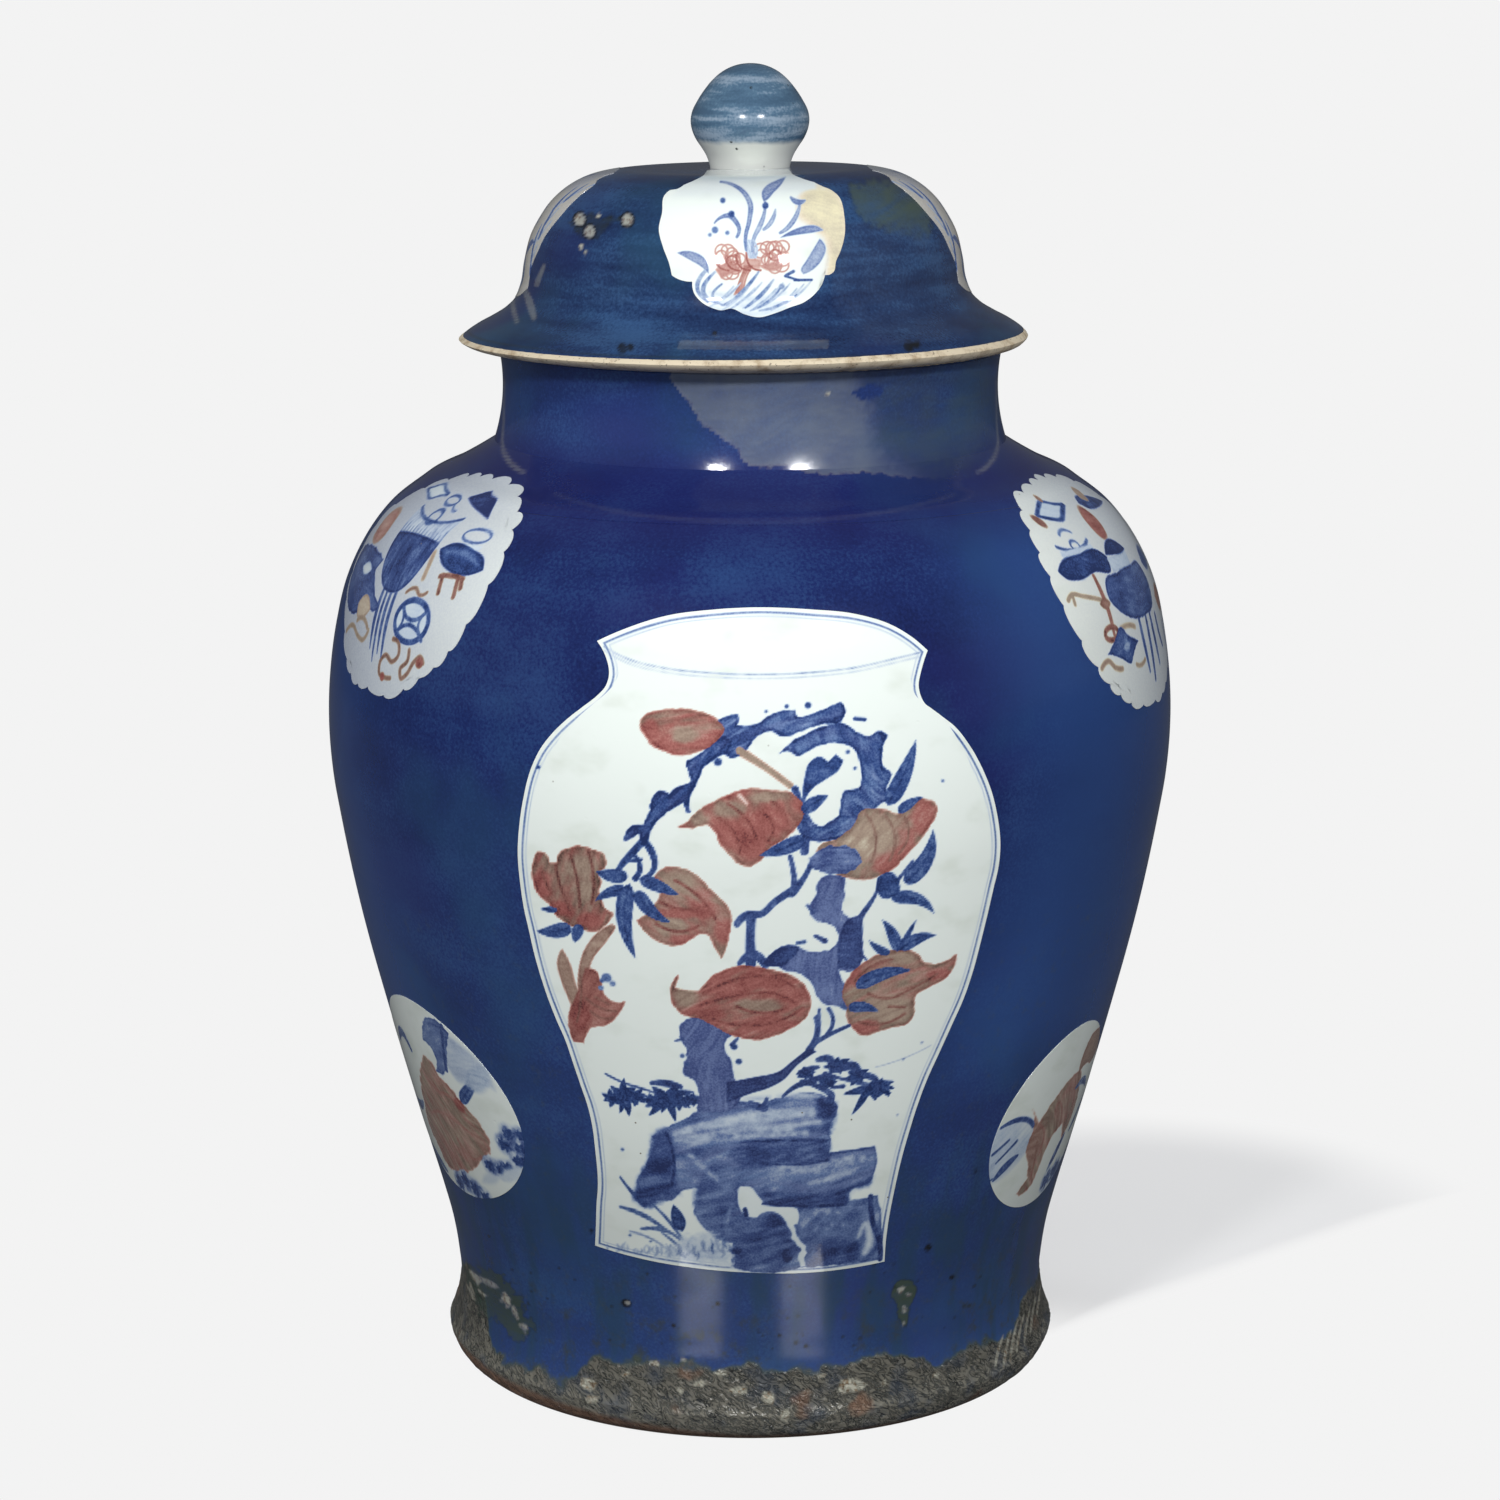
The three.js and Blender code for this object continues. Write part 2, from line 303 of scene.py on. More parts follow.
def addNode(material, kind, inputs=None, stops=(), **settings):
    # Adds a node. An input, by name or number, takes a value, a socket, or a node for its first live output.
    tree = material.node_tree
    node = tree.nodes.new("ShaderNode" + kind)
    for key, value in settings.items():
        setattr(node, key, value)
    for i, (place, code) in enumerate(stops):
        elements = node.color_ramp.elements
        element = elements[0] if i == 0 else elements[-1] if i == len(stops) - 1 else elements.new(place)
        element.position, element.color = place, toLinear(code)
    for key, value in (inputs or {}).items():
        socket = node.inputs[key] if isinstance(key, int) else [
            s for s in node.inputs if s.enabled and s.name == key][0]
        if isinstance(value, bpy.types.Node):
            value = [s for s in value.outputs if s.enabled][0]
        if isinstance(value, bpy.types.NodeSocket):
            tree.links.new(value, socket)
        else:
            socket.default_value = toLinear(value) if isinstance(value, str) else value
    return node


def emptyMaterial(name):
    material = bpy.data.materials.new(name)
    material.use_nodes = True
    material.node_tree.nodes.clear()
    return material


def objectPlace(m, size, stretch=(1, 1, 1)):
    # Object coordinates scaled so that one unit is the given number of millimetres
    place = addNode(m, "TexCoord").outputs["Object"]
    scale = [s / (size * mm) for s in stretch]
    return addNode(m, "VectorMath", {0: place, 1: scale}, operation="MULTIPLY")


def noise(m, size, detail=2.0, stretch=(1, 1, 1), rough=0.5):
    return addNode(m, "TexNoise", {"Vector": objectPlace(m, size, stretch), "Scale": 1.0, "Detail": detail,
                                   "Roughness": rough})


def blend(m, share, a, b):
    return addNode(m, "Mix", {"Factor": share, "A": a, "B": b}, data_type="RGBA")


def measure(m, name):
    return addNode(m, "Attribute", attribute_name=name).outputs["Fac"]


def levels(m, value, low, high, to=(0.0, 1.0)):
    return addNode(m, "MapRange", {"Value": value, "From Min": low, "From Max": high, "To Min": to[0],
                                   "To Max": to[1]}, interpolation_type="SMOOTHSTEP")


def total(m, *terms):
    # A weighted sum of (weight, value) terms
    running = None
    for weight, value in terms:
        running = addNode(m, "Math", {0: value, 1: weight, 2: running if running else 0.0},
                          operation="MULTIPLY_ADD")
    return running


def product(m, a, b):
    return addNode(m, "Math", {0: a, 1: b}, operation="MULTIPLY")


def coordinate(m, axis):
    return addNode(m, "SeparateXYZ", {0: addNode(m, "TexCoord").outputs["Object"]}).outputs[axis]


def heightUp(m):
    return coordinate(m, "Z")


def levelsMm(m, value, span, to=(0.0, 1.0)):
    return levels(m, value, span[0] * mm, span[1] * mm, to)


def paintParts(m):
    # How much cobalt and copper a painted or worn surface holds, and the tint of each
    paint = addNode(m, "Attribute", attribute_name="paint")
    parts = addNode(m, "SeparateColor", {"Color": paint.outputs["Color"]}).outputs
    return parts["Red"], parts["Green"], parts["Blue"], paint.outputs["Alpha"]


def finished(m, shade, rough, normal):
    inputs = {"Base Color": shade, "Roughness": rough, "IOR": 1.5, "Normal": normal}
    addNode(m, "OutputMaterial", {"Surface": addNode(m, "BsdfPrincipled", inputs)})
    return m


floorLook = {
    "seen": "#f3f3f3",       # what the camera sees of the paper backdrop
    "pale": "#eeeeee",       # its true colour, where a shadow falls on it
    "dimmed": "#3a3c40",     # what the floor sends back to the jar, as in a darkened studio
    "roughness": 0.5,
    "plain": 0.42,           # share of the floor's look near the shadow that no shadow changes
    "shadowAt": (0.2, 0.17, 0),    # metres, the middle of the shadow behind the jar on the right
    "fadeFrom": 0.115,       # metres from there where the shadow starts to fade out
    "fadeTo": 0.2,
    "shadowSide": (0.681, -0.732, 0),   # the way out over the shadow's front edge
    "sideFrom": 0.07,        # metres that way, where the edge lies
    "sideTo": 0.1,
    "mirrored": 0.025,        # share of the white backdrop that the glaze reflects
    "reach": 60,              # metres
}


def seenShare(m):
    # 1 where the camera looks at the backdrop, straight or through something, and less in a reflection
    path = addNode(m, "LightPath")
    straight = addNode(m, "Math", {0: path.outputs["Is Camera Ray"], 1: path.outputs["Is Transmission Ray"]},
                       operation="MAXIMUM")
    return addNode(m, "Math", {0: path.outputs["Is Glossy Ray"], 1: floorLook["mirrored"], 2: straight},
                   operation="MULTIPLY_ADD", use_clamp=True)


def paperFloor():
    # Seamless paper sweep, matt and pale. It keeps a faint shadow and stays even right across the picture.
    look = floorLook
    m = emptyMaterial("seamlessPaper")
    away = addNode(m, "VectorMath", {0: addNode(m, "TexCoord").outputs["Object"], 1: look["shadowAt"]},
                   operation="DISTANCE")
    plain = levels(m, away, look["fadeFrom"], look["fadeTo"], (look["plain"], 1.0))
    aside = addNode(m, "VectorMath", {0: addNode(m, "TexCoord").outputs["Object"], 1: look["shadowSide"]},
                    operation="DOT_PRODUCT")
    past = levels(m, aside.outputs["Value"], look["sideFrom"], look["sideTo"])
    plain = addNode(m, "Math", {0: plain, 1: past}, operation="MAXIMUM")
    matt = addNode(m, "BsdfDiffuse", {"Color": look["pale"]})
    even = addNode(m, "Emission", {"Color": look["seen"], "Strength": 1.0})
    bright = addNode(m, "MixShader", {0: plain, 1: matt, 2: even})
    dim = addNode(m, "BsdfPrincipled", {"Base Color": look["dimmed"], "Roughness": look["roughness"]})
    both = addNode(m, "MixShader", {0: seenShare(m), 1: dim, 2: bright})
    addNode(m, "OutputMaterial", {"Surface": both})
    return m


floorMesh = bpy.data.meshes.new("paperFloor")
reach = floorLook["reach"]
floorMesh.from_pydata([(-reach, -reach, 0), (reach, -reach, 0), (reach, reach, 0), (-reach, reach, 0)], [],
                      [(0, 1, 2, 3)])
floor = bpy.data.objects.new("paperFloor", floorMesh)
bpy.context.scene.collection.objects.link(floor)
floorMesh.materials.append(paperFloor())

topLift = math.radians(48)
studio = {
    # Degrees round from the front, metres away, metres up, width and height, radiance, the height aimed at
    # (or else straight up), and whether the glaze mirrors it
    "lamp": ((-15, 22), 1.3, 1.08, (0.13, 0.13), (185, 185), 0.35, True),
    # The next one throws the shadow on the paper. The glints are what the lamps leave on the table.
    "top": ((-33,), 2.2 * math.cos(topLift), 2.2 * math.sin(topLift), (0.6, 0.6), (5,), 0.3, False),
    "side": ((-70, 72, -125, 128, 180), 2.2, 1.05, (1.2, 1.1), (2.5, 2.1, 3.2, 3.0, 2.0), 0.28, False),
    "glint": ((-13.2, 13.7), 0.211, 0.002, (0.042, 0.012), (3.8, 3.8), None, True),
    "fill": ((0,), 2.6, 0.5, (1.8, 1.2), (2.4,), 0.25, False),   # a broad pale panel beside the camera
}
room = {
    "ambient": "#5c6068",
    "mirrored": "#494b4f",   # the darker room that the glaze reflects
}


def softbox(name, azimuth, away, height, size, radiance, aim, mirrored):
    lamp = bpy.data.lights.new(name, "AREA")
    lamp.shape, (lamp.size, lamp.size_y) = "RECTANGLE", size
    lamp.energy = radiance * math.pi * size[0] * size[1]
    box = bpy.data.objects.new(name, lamp)
    bpy.context.scene.collection.objects.link(box)
    turn = math.radians(azimuth)
    box.location = (away * math.sin(turn), -away * math.cos(turn), height)
    target = Vector((0, 0, aim)) if aim else box.location + Vector((0, 0, 1))
    box.rotation_euler = (target - box.location).to_track_quat("-Z", "Y").to_euler()
    box.visible_camera = False
    box.visible_glossy = mirrored
    box.visible_diffuse = bool(aim)


for kind, (azimuths, away, height, size, radiances, aim, mirrored) in studio.items():
    for number, (azimuth, radiance) in enumerate(zip(azimuths, radiances)):
        softbox(f"{kind}{number}", azimuth, away, height, size, radiance, aim, mirrored)


def studioWorld():
    world = bpy.data.worlds.new("studio")
    bpy.context.scene.world = world
    world.use_nodes = True
    world.node_tree.nodes.clear()
    mirrored = addNode(world, "LightPath").outputs["Is Glossy Ray"]
    around = blend(world, mirrored, room["ambient"], room["mirrored"])
    around = addNode(world, "Background", {"Color": around})
    paper = addNode(world, "Background", {"Color": floorLook["seen"]})
    seen = addNode(world, "MixShader", {0: seenShare(world), 1: around, 2: paper})
    addNode(world, "OutputWorld", {"Surface": seen})


studioWorld()
print("camera, floor and lights stand")


# Glazes

blueOnBody = {
    "deep": "#11193f",
    "middle": "#172453",
    "light": "#233a66",
    "shallow": "#1b3656",    # where the cobalt lies thin, towards green
    "violet": "#1b1e52",
    "pale": "#2b4264",       # what the thin glaze towards the foot tends to
    "runs": "#152833",       # darker runs down the foot
    "runHeights": (200, 60),   # mm up, between which they set in
    "thinner": "#264276",    # painted light: the belly made lighter towards both sides, as if lit more there
    "thinnerShare": 0.72,
    "thinnerLow": (140, 200),    # mm up, between which that sets in
    "thinnerHigh": (425, 395),
    "thinnerMiddle": (-30, 300),   # mm across and up, away from which it is
    "thinnerFar": (125, 185),
    "thinnerSlope": 0.35,
    "paleShare": 0.5,
    "paintedLightLeft": 0.3,         # painted light: paler towards the left, as if lit from that side
    "paleGain": 0.9,         # how much lighter the cobalt lies there
    "paleHeights": (350, 40),
    "neckShare": 0.5,        # the same lightening on the neck, between these heights
    "neckHeights": (424, 446),
    "fillet": 0.55,          # share of violet in the hollow under the neck, from below and from above
    "filletLow": (396, 418),
    "filletHigh": (446, 430),
    "parts": (0.38, 0.34, 0.08),   # shares of cloud, speckle and wheel lines
    "cloud": 46,             # mm across the clouds in the blown-on cobalt
    "speckle": 1.3,          # mm, coarser than the powder itself, so that it shows
    "streak": 6,             # mm between the lines that the turning wheel left
    "peel": 2.6,             # mm between the dimples of the glaze
    "pit": 9,                # mm between pinholes
    "roughness": 0.1,
}
crawledGlaze = {
    "furrow": "#17191b",
    "skin": "#464743",
    "crest": "#5d5b53",
    "burnt": "#7d5c48",
    "burntHeights": (5, 1),    # mm up, along the lowest edge
    "burntTilt": 0.07,         # and higher towards the left
    "bluish": "#2f3a4a",
    "speckle": "#333a38",
    "speckleHeights": (95, 38),
    "fringe": "#3d4638",       # the film along its upper edge
    "paintedLightGain": 0.75,           # painted light: how much paler it is made towards the table, as if lit by it from below
    "paintedLightHeights": (24, 5),
    "wrinkle": 3.4,            # mm, the width of a wrinkle up the wall and round it
    "wrinkleAround": 6.5,
    "wrinkleSlant": 0.16,
    "roughness": 0.2,
}
wearAndReflectionLook = {
    "spot": "#14171c",
    "film": "#3d4a42",
    "chip": "#a3a294",
    "under": "#77654f",      # the clay in the stained parts of a chip
    # The haze colour also serves for painted reflections
    "hazeAndSheen": "#626a73",
    "roughness": 0.22,
}
bareClay = {
    "body": "#c3b79f",
    "stain": "#8d775b",
    "spot": "#4e4236",
    "glazed": "#c9cfc8",     # the same clay under clear glaze, inside
    "roughness": 0.62,
    "grain": 1.5,            # mm
}


def powderBlue(m, look):
    # The blown-on cobalt: clouds, fine speckle and faint lines from the wheel, paler towards the foot, with
    # painted light towards both sides of the belly and to the left
    cloud, speckle, streak = look["parts"]
    tone = total(m, (cloud, noise(m, look["cloud"], 3.0)),
                 (speckle, noise(m, look["speckle"], 3.0, rough=0.6)),
                 (streak, noise(m, look["streak"], 2.0, (0.12, 0.12, 1))))
    middle = (cloud + speckle + streak) / 2
    shade = addNode(m, "ValToRGB", {"Fac": levels(m, tone, middle - 0.17, middle + 0.17)},
                    ((0, look["deep"]), (0.5, look["middle"]), (1, look["light"])))
    thin = levels(m, noise(m, look["cloud"] * 1.7, 3.0), 0.52, 0.7, (0.0, 0.6))
    violet = levels(m, noise(m, look["cloud"] * 2.3, 2.0, (1, 1, 1.6)), 0.54, 0.72, (0.0, 0.65))
    height = heightUp(m)
    hollow = product(m, levelsMm(m, height, look["filletLow"], (0.0, look["fillet"])),
                     levelsMm(m, height, look["filletHigh"]))
    violet = addNode(m, "Math", {0: violet, 1: hollow}, operation="MAXIMUM")
    shade = blend(m, violet, blend(m, thin, shade, look["shallow"]), look["violet"])
    # Painted light: the belly is made lighter towards both sides
    across = coordinate(m, "X")
    aside, off = (addNode(m, "Math", {0: total(m, (1.0, value), (1.0, -middle * mm))}, operation="ABSOLUTE")
                  for value, middle in zip((across, height), look["thinnerMiddle"]))
    aside = total(m, (1.0, aside), (look["thinnerSlope"], off))
    litSides = product(m, levelsMm(m, height, look["thinnerLow"]), levelsMm(m, height, look["thinnerHigh"]))
    litSides = product(m, litSides, levelsMm(m, aside, look["thinnerFar"], (0.0, look["thinnerShare"])))
    shade = blend(m, litSides, shade, look["thinner"])
    runs = product(m, levels(m, noise(m, 12, 3.0, (1, 1, 0.18)), 0.42, 0.68, (0.0, 0.8)),
                   levelsMm(m, height, look["runHeights"]))
    shade = blend(m, runs, shade, look["runs"])
    # Paler towards the foot in the glaze itself, and paler towards the left as painted light
    low = levelsMm(m, total(m, (1.0, height), (look["paintedLightLeft"], across)), look["paleHeights"])
    neck = levelsMm(m, height, look["neckHeights"], (0.0, look["neckShare"]))
    paler = addNode(m, "Math", {0: low, 1: neck}, operation="MAXIMUM")
    gain = total(m, (look["paleGain"], paler), (1.0, 1.0))
    shade = addNode(m, "VectorMath", {0: shade, "Scale": gain}, operation="SCALE")
    return blend(m, product(m, paler, look["paleShare"]), shade, look["pale"])


def skinWearAndReflections(m, shade, rough):
    # Old damage painted on a skin: dark spots and an olive film, or bare chips and a grey haze. The grey
    # haze also shows the painted reflections on the neck and brim.
    look = wearAndReflectionLook
    dark, bare, olive, grey = paintParts(m)
    film = blend(m, olive, look["spot"], look["film"])
    clay = blend(m, levels(m, noise(m, 2.2, 3.0), 0.45, 0.7), look["chip"], look["under"])
    clay = blend(m, grey, clay, look["hazeAndSheen"])
    shade = blend(m, bare, blend(m, dark, shade, film), clay)
    worn = addNode(m, "Math", {0: dark, 1: bare}, operation="MAXIMUM")
    return shade, addNode(m, "Mix", {"Factor": worn, "A": rough, "B": look["roughness"]}, data_type="FLOAT")


def glazeBump(m, look, extra=None):
    dimples = noise(m, look["peel"], 1.0)
    pits = addNode(m, "TexVoronoi", {"Vector": objectPlace(m, look["pit"]), "Scale": 1.0})
    pinhole = levels(m, pits.outputs["Distance"], 0.03, 0.07)
    depth = total(m, (0.02 * mm, dimples), (0.06 * mm, pinhole), *([extra] if extra else []))
    return addNode(m, "Bump", {"Height": depth, "Distance": 1.0, "Strength": 1.0})


def bareShade(m):
    look = bareClay
    tone = addNode(m, "ValToRGB", {"Fac": noise(m, look["grain"] * 6, 4.0, rough=0.65)},
                   ((0.3, look["stain"]), (0.52, look["body"]), (0.9, look["body"])))
    spots = levels(m, noise(m, look["grain"], 2.0), 0.64, 0.7, (0.0, 0.7))
    return blend(m, spots, tone, look["spot"])


def jarGlaze(name, look, crawls=False):
    # Porcelain under powder blue and a clear fired glaze: deep, mottled, with crisp reflections. Low on the
    # foot it crawled and dried to a wrinkled olive skin. Inside, the clay shows white through the glaze.
    m = emptyMaterial(name)
    shade, rough = powderBlue(m, look), total(m, (0.08, noise(m, 14, 3.0)), (1.0, look["roughness"] - 0.03))
    extra = None
    if crawls:
        dry = crawledGlaze
        shed = product(m, levelsMm(m, heightUp(m), dry["speckleHeights"]),
                       levels(m, noise(m, 9, 4.0, rough=0.65), 0.5, 0.72))
        shade = blend(m, product(m, shed, 0.75), shade, dry["speckle"])
        reach = total(m, (1.0, measure(m, "crawl")), (0.8, noise(m, 5, 5.0, rough=0.65)))
        crawl = levels(m, reach, 0.62, 1.1)
        shade = blend(m, levels(m, reach, 0.42, 0.8, (0.0, 0.75)), shade, dry["fringe"])
        cell = addNode(m, "TexVoronoi", {"Vector": objectPlace(m, dry["wrinkle"], (1, 1, 1.5)), "Scale": 1.0,
                                         "Detail": 2.0}, feature="SMOOTH_F1")
        around = measure(m, "around")
        place = addNode(m, "CombineXYZ", {
            "X": total(m, (1 / dry["wrinkleAround"], around)),
            "Z": total(m, (1 / (dry["wrinkle"] * mm), heightUp(m)), (dry["wrinkleSlant"], around))})
        wrinkles = addNode(m, "TexNoise", {"Vector": place, "Scale": 1.0, "Detail": 3.0, "Roughness": 0.6,
                                           "Distortion": 1.6})
        gap = addNode(m, "Math", {0: total(m, (2.0, wrinkles), (-1.0, 1.0))}, operation="ABSOLUTE")
        worms = levels(m, gap, 0.0, 0.15)
        ridge = total(m, (0.4, measure(m, "ridge")), (0.25, noise(m, 2.2, 3.0)), (0.45, worms))
        skin = addNode(m, "ValToRGB", {"Fac": ridge},
                       ((0.25, dry["furrow"]), (0.5, dry["skin"]), (0.85, dry["crest"])))
        skin = blend(m, levels(m, noise(m, 15, 3.0), 0.5, 0.68, (0.0, 0.5)), skin, dry["bluish"])
        # Painted light: the crust is made paler towards the table
        gain = total(m, (dry["paintedLightGain"], levelsMm(m, heightUp(m), dry["paintedLightHeights"])), (1.0, 1.0))
        skin = addNode(m, "VectorMath", {0: skin, "Scale": gain}, operation="SCALE")
        burnt = levels(m, noise(m, 26, 3.0), 0.6, 0.7, (0.0, 0.6))
        left = addNode(m, "Math", {0: coordinate(m, "X"), 1: 0.0}, operation="MINIMUM")
        low = total(m, (1.0, heightUp(m)), (dry["burntTilt"], left))
        lowest = levelsMm(m, low, dry["burntHeights"], (0.0, 0.8))
        burnt = addNode(m, "Math", {0: burnt, 1: lowest}, operation="MAXIMUM")
        shade = blend(m, crawl, shade, blend(m, burnt, skin, dry["burnt"]))
        rough = addNode(m, "Mix", {"Factor": crawl, "A": rough, "B": dry["roughness"]}, data_type="FLOAT")
        fine = total(m, (0.4, noise(m, 1.6, 3.0)), (-0.4, cell.outputs["Distance"]), (0.6, worms))
        extra = (0.8 * mm, product(m, crawl, fine))
    shade, rough = skinWearAndReflections(m, shade, rough)
    shade = blend(m, measure(m, "inside"), shade, bareClay["glazed"])
    bare = levels(m, total(m, (1.0, measure(m, "bare")), (0.35, noise(m, 3, 3.0))), 0.6, 0.72)
    shade = blend(m, bare, shade, bareShade(m))
    rough = addNode(m, "Mix", {"Factor": bare, "A": rough, "B": bareClay["roughness"]}, data_type="FLOAT")
    return finished(m, shade, rough, glazeBump(m, look, extra))


def unglazed(name):
    # Bare fired porcelain, matt and a little grainy
    m = emptyMaterial(name)
    grains = noise(m, bareClay["grain"], 3.0)
    bump = addNode(m, "Bump", {"Height": grains, "Distance": 0.05 * mm, "Strength": 1.0})
    return finished(m, bareShade(m), bareClay["roughness"], bump)


budGlaze = {
    "wash": "#4c667c",
    "deep": "#3c546a",
    "pale": "#7f90a0",
    "white": "#c3c6c0",
    "speck": "#26292b",
    "collarTop": 566,    # mm up, where the wash starts
    "collarBlur": (-0.5, 2.6),
    "collarWave": 2.5,
    "peel": 3,
    "pit": 7,
    "roughness": 0.16,
}


def finialGlaze():
    # Porcelain with a thin pale cobalt wash brushed round it over a collar left white, and dark iron specks
    look = budGlaze
    m = emptyMaterial("paleBlueGlaze")
    wavy = total(m, (1.0, heightUp(m)), (look["collarWave"] * mm, noise(m, 7, 2.0)))
    washed = levelsMm(m, wavy, [look["collarTop"] + blur for blur in look["collarBlur"]])
    brushed = total(m, (0.8, noise(m, 8, 4.0, (0.25, 0.25, 1.6))), (0.2, noise(m, 1.2, 2.0)))
    blue = addNode(m, "ValToRGB", {"Fac": levels(m, brushed, 0.35, 0.65)},
                   ((0, look["deep"]), (0.5, look["wash"]), (1, look["pale"])))
    shade = blend(m, washed, look["white"], blue)
    specks = addNode(m, "TexVoronoi", {"Vector": objectPlace(m, 6.5), "Scale": 1.0})
    speck = levels(m, specks.outputs["Distance"], 0.16, 0.09)
    kept = levels(m, noise(m, 9, 1.0), 0.5, 0.56)
    shade = blend(m, product(m, speck, kept), shade, look["speck"])
    return finished(m, shade, look["roughness"], glazeBump(m, look))


blueOnCover = dict(blueOnBody, deep="#131f3e", middle="#1d3154", light="#2d4a70", parts=(0.4, 0.3, 0.3),
                   shallow="#24445c", violet="#1b2350", streak=5, neckShare=0.0, fillet=0.0)
bodyGlaze = jarGlaze("powderBlueGlaze", blueOnBody)
footGlaze = jarGlaze("crawledBlueGlaze", dict(blueOnBody, roughness=0.2), True)
coverGlaze = jarGlaze("powderBlueCoverGlaze", blueOnCover)
paleGlaze = finialGlaze()
bareClayMaterial = unglazed("barePorcelain")


# Brushwork. A sheet holds the corners of a panel's grid and how much pigment lies on each.

pigments = ("cobalt", "copper", "cobaltTint", "copperTint")


def newSheet(x, z, **more):
    return {"x": x, "z": z, **more, **{key: np.zeros(len(x)) for key in pigments}}


def keepPaint(piece, sheet, again=()):
    # The pigments become an attribute of the corners, and once more for the corners of a slab's back
    held = np.stack([sheet[key] for key in pigments], -1).astype(np.float32)
    layer = piece.data.attributes.new("paint", "FLOAT_COLOR", "POINT").data
    layer.foreach_set("color", np.concatenate([held, held[np.array(again, int)]]).reshape(-1))


def pick(sheet, line, margin=1.5):
    low, high = line[:, :2].min(0) - margin, line[:, :2].max(0) + margin
    x, z = sheet["x"], sheet["z"]
    return np.nonzero((x > low[0]) & (x < high[0]) & (z > low[1]) & (z < high[1]))[0]


def depthIn(sheet, where, line, closed):
    # How far each place lies inside a closed line, or inside the width of an open one
    x, z = sheet["x"][where], sheet["z"][where]
    gap, inside = np.full(x.shape, 1e9), np.zeros(x.shape, bool)
    for a, b in zip(line, np.roll(line, -1, 0)) if closed else zip(line, line[1:]):
        run = b[:2] - a[:2]
        t = np.clip(((x - a[0]) * run[0] + (z - a[1]) * run[1]) / max(run @ run, 1e-9), 0, 1)
        half = (a[2] + (b[2] - a[2]) * t) / 2 if len(a) > 2 else 0
        gap = np.minimum(gap, np.hypot(x - a[0] - t * run[0], z - a[1] - t * run[1]) - half)
        if closed and a[1] != b[1]:
            inside ^= ((a[1] > z) != (b[1] > z)) & (x < a[0] + (z - a[1]) / run[1] * run[0])
    return np.where(inside, gap, -gap)


def grain(sheet, where, angle, long, fine, seed):
    # Bristle streaks: noise drawn out along an angle, bending a little as a hand does
    x, z = sheet["x"][where], sheet["z"][where]
    bend = 13 * (mottle(x, z, 26, seed + 7, 1) - 0.5)
    x, z = x + bend, z + bend
    c, s = math.cos(math.radians(angle)), math.sin(math.radians(angle))
    return mottle((x * c + z * s) / long * fine, z * c - x * s, fine, seed, octaves=2)


def lay(sheet, where, pigment, cover, tone, tint=0.0, darker=False):
    # Puts pigment down where cover is 1, in place of the other pigment
    old = sheet[pigment][where]
    tone = np.maximum(tone, old) if darker else tone
    sheet[pigment][where] = old + (np.clip(tone, 0, 1.2) - old) * cover
    other = "copper" if pigment == "cobalt" else "cobalt"
    sheet[other][where] *= 1 - cover
    key = pigment + "Tint"
    sheet[key][where] += (tint - sheet[key][where]) * cover


def wash(sheet, marks, tone, pigment="cobalt", tint=0.0, rim=0.14, blot=0.35, soft=0.4, streak=(0, 9),
         seed=1, sharp=70, rimWide=0.9, ragged=0.0, bristle=0.45, mix=0.0):
    # A filled shape: mottled and streaked inside, with a darker edge where the wet pigment pooled. Mix is
    # how far the streaks wander in tint.
    line = smoothLine(marks, 1.0, closed=True, sharp=sharp)
    where = pick(sheet, line)
    if not len(where):
        return
    x, z = sheet["x"][where], sheet["z"][where]
    depth = depthIn(sheet, where, line, True) + ragged * (mottle(x, z, 2.2, seed + 3) - 0.5)
    fine = streak[2] if len(streak) > 2 else 1.3
    flow = (1 - bristle) * mottle(x, z, 7, seed) + bristle * grain(sheet, where, *streak[:2], fine, seed + 1)
    shade = tone * (1 + blot * 2 * (flow - 0.5)) + rim * np.exp(-(depth / rimWide) ** 2)
    if mix:
        wander = grain(sheet, where, *streak[:2], 1.9, seed + 2) - 0.5
        tint = np.clip(tint + 2.4 * mix * wander, 0, 1)
    lay(sheet, where, pigment, ease(-soft, soft, depth), shade, tint)


def stroke(sheet, marks, tone, width=None, pigment="cobalt", tint=0.0, soft=0.35, blot=0.25, seed=2, rim=0.0,
           darker=True):
    # A brush line through marks. The third number of a mark, or width for all of them, is its breadth.
    rows = [(m[0], m[1], m[2] if len(m) > 2 else width) for m in marks]
    line = smoothLine(rows, 1.0)
    where = pick(sheet, line, line[:, 2].max() + 1)
    if not len(where):
        return
    x, z = sheet["x"][where], sheet["z"][where]
    depth = depthIn(sheet, where, line, False)
    shade = tone * (1 + blot * 2 * (mottle(x, z, 2.5, seed) - 0.5)) + rim * np.exp(-(depth / 0.7) ** 2)
    lay(sheet, where, pigment, ease(-soft, soft, depth), shade, tint, darker)


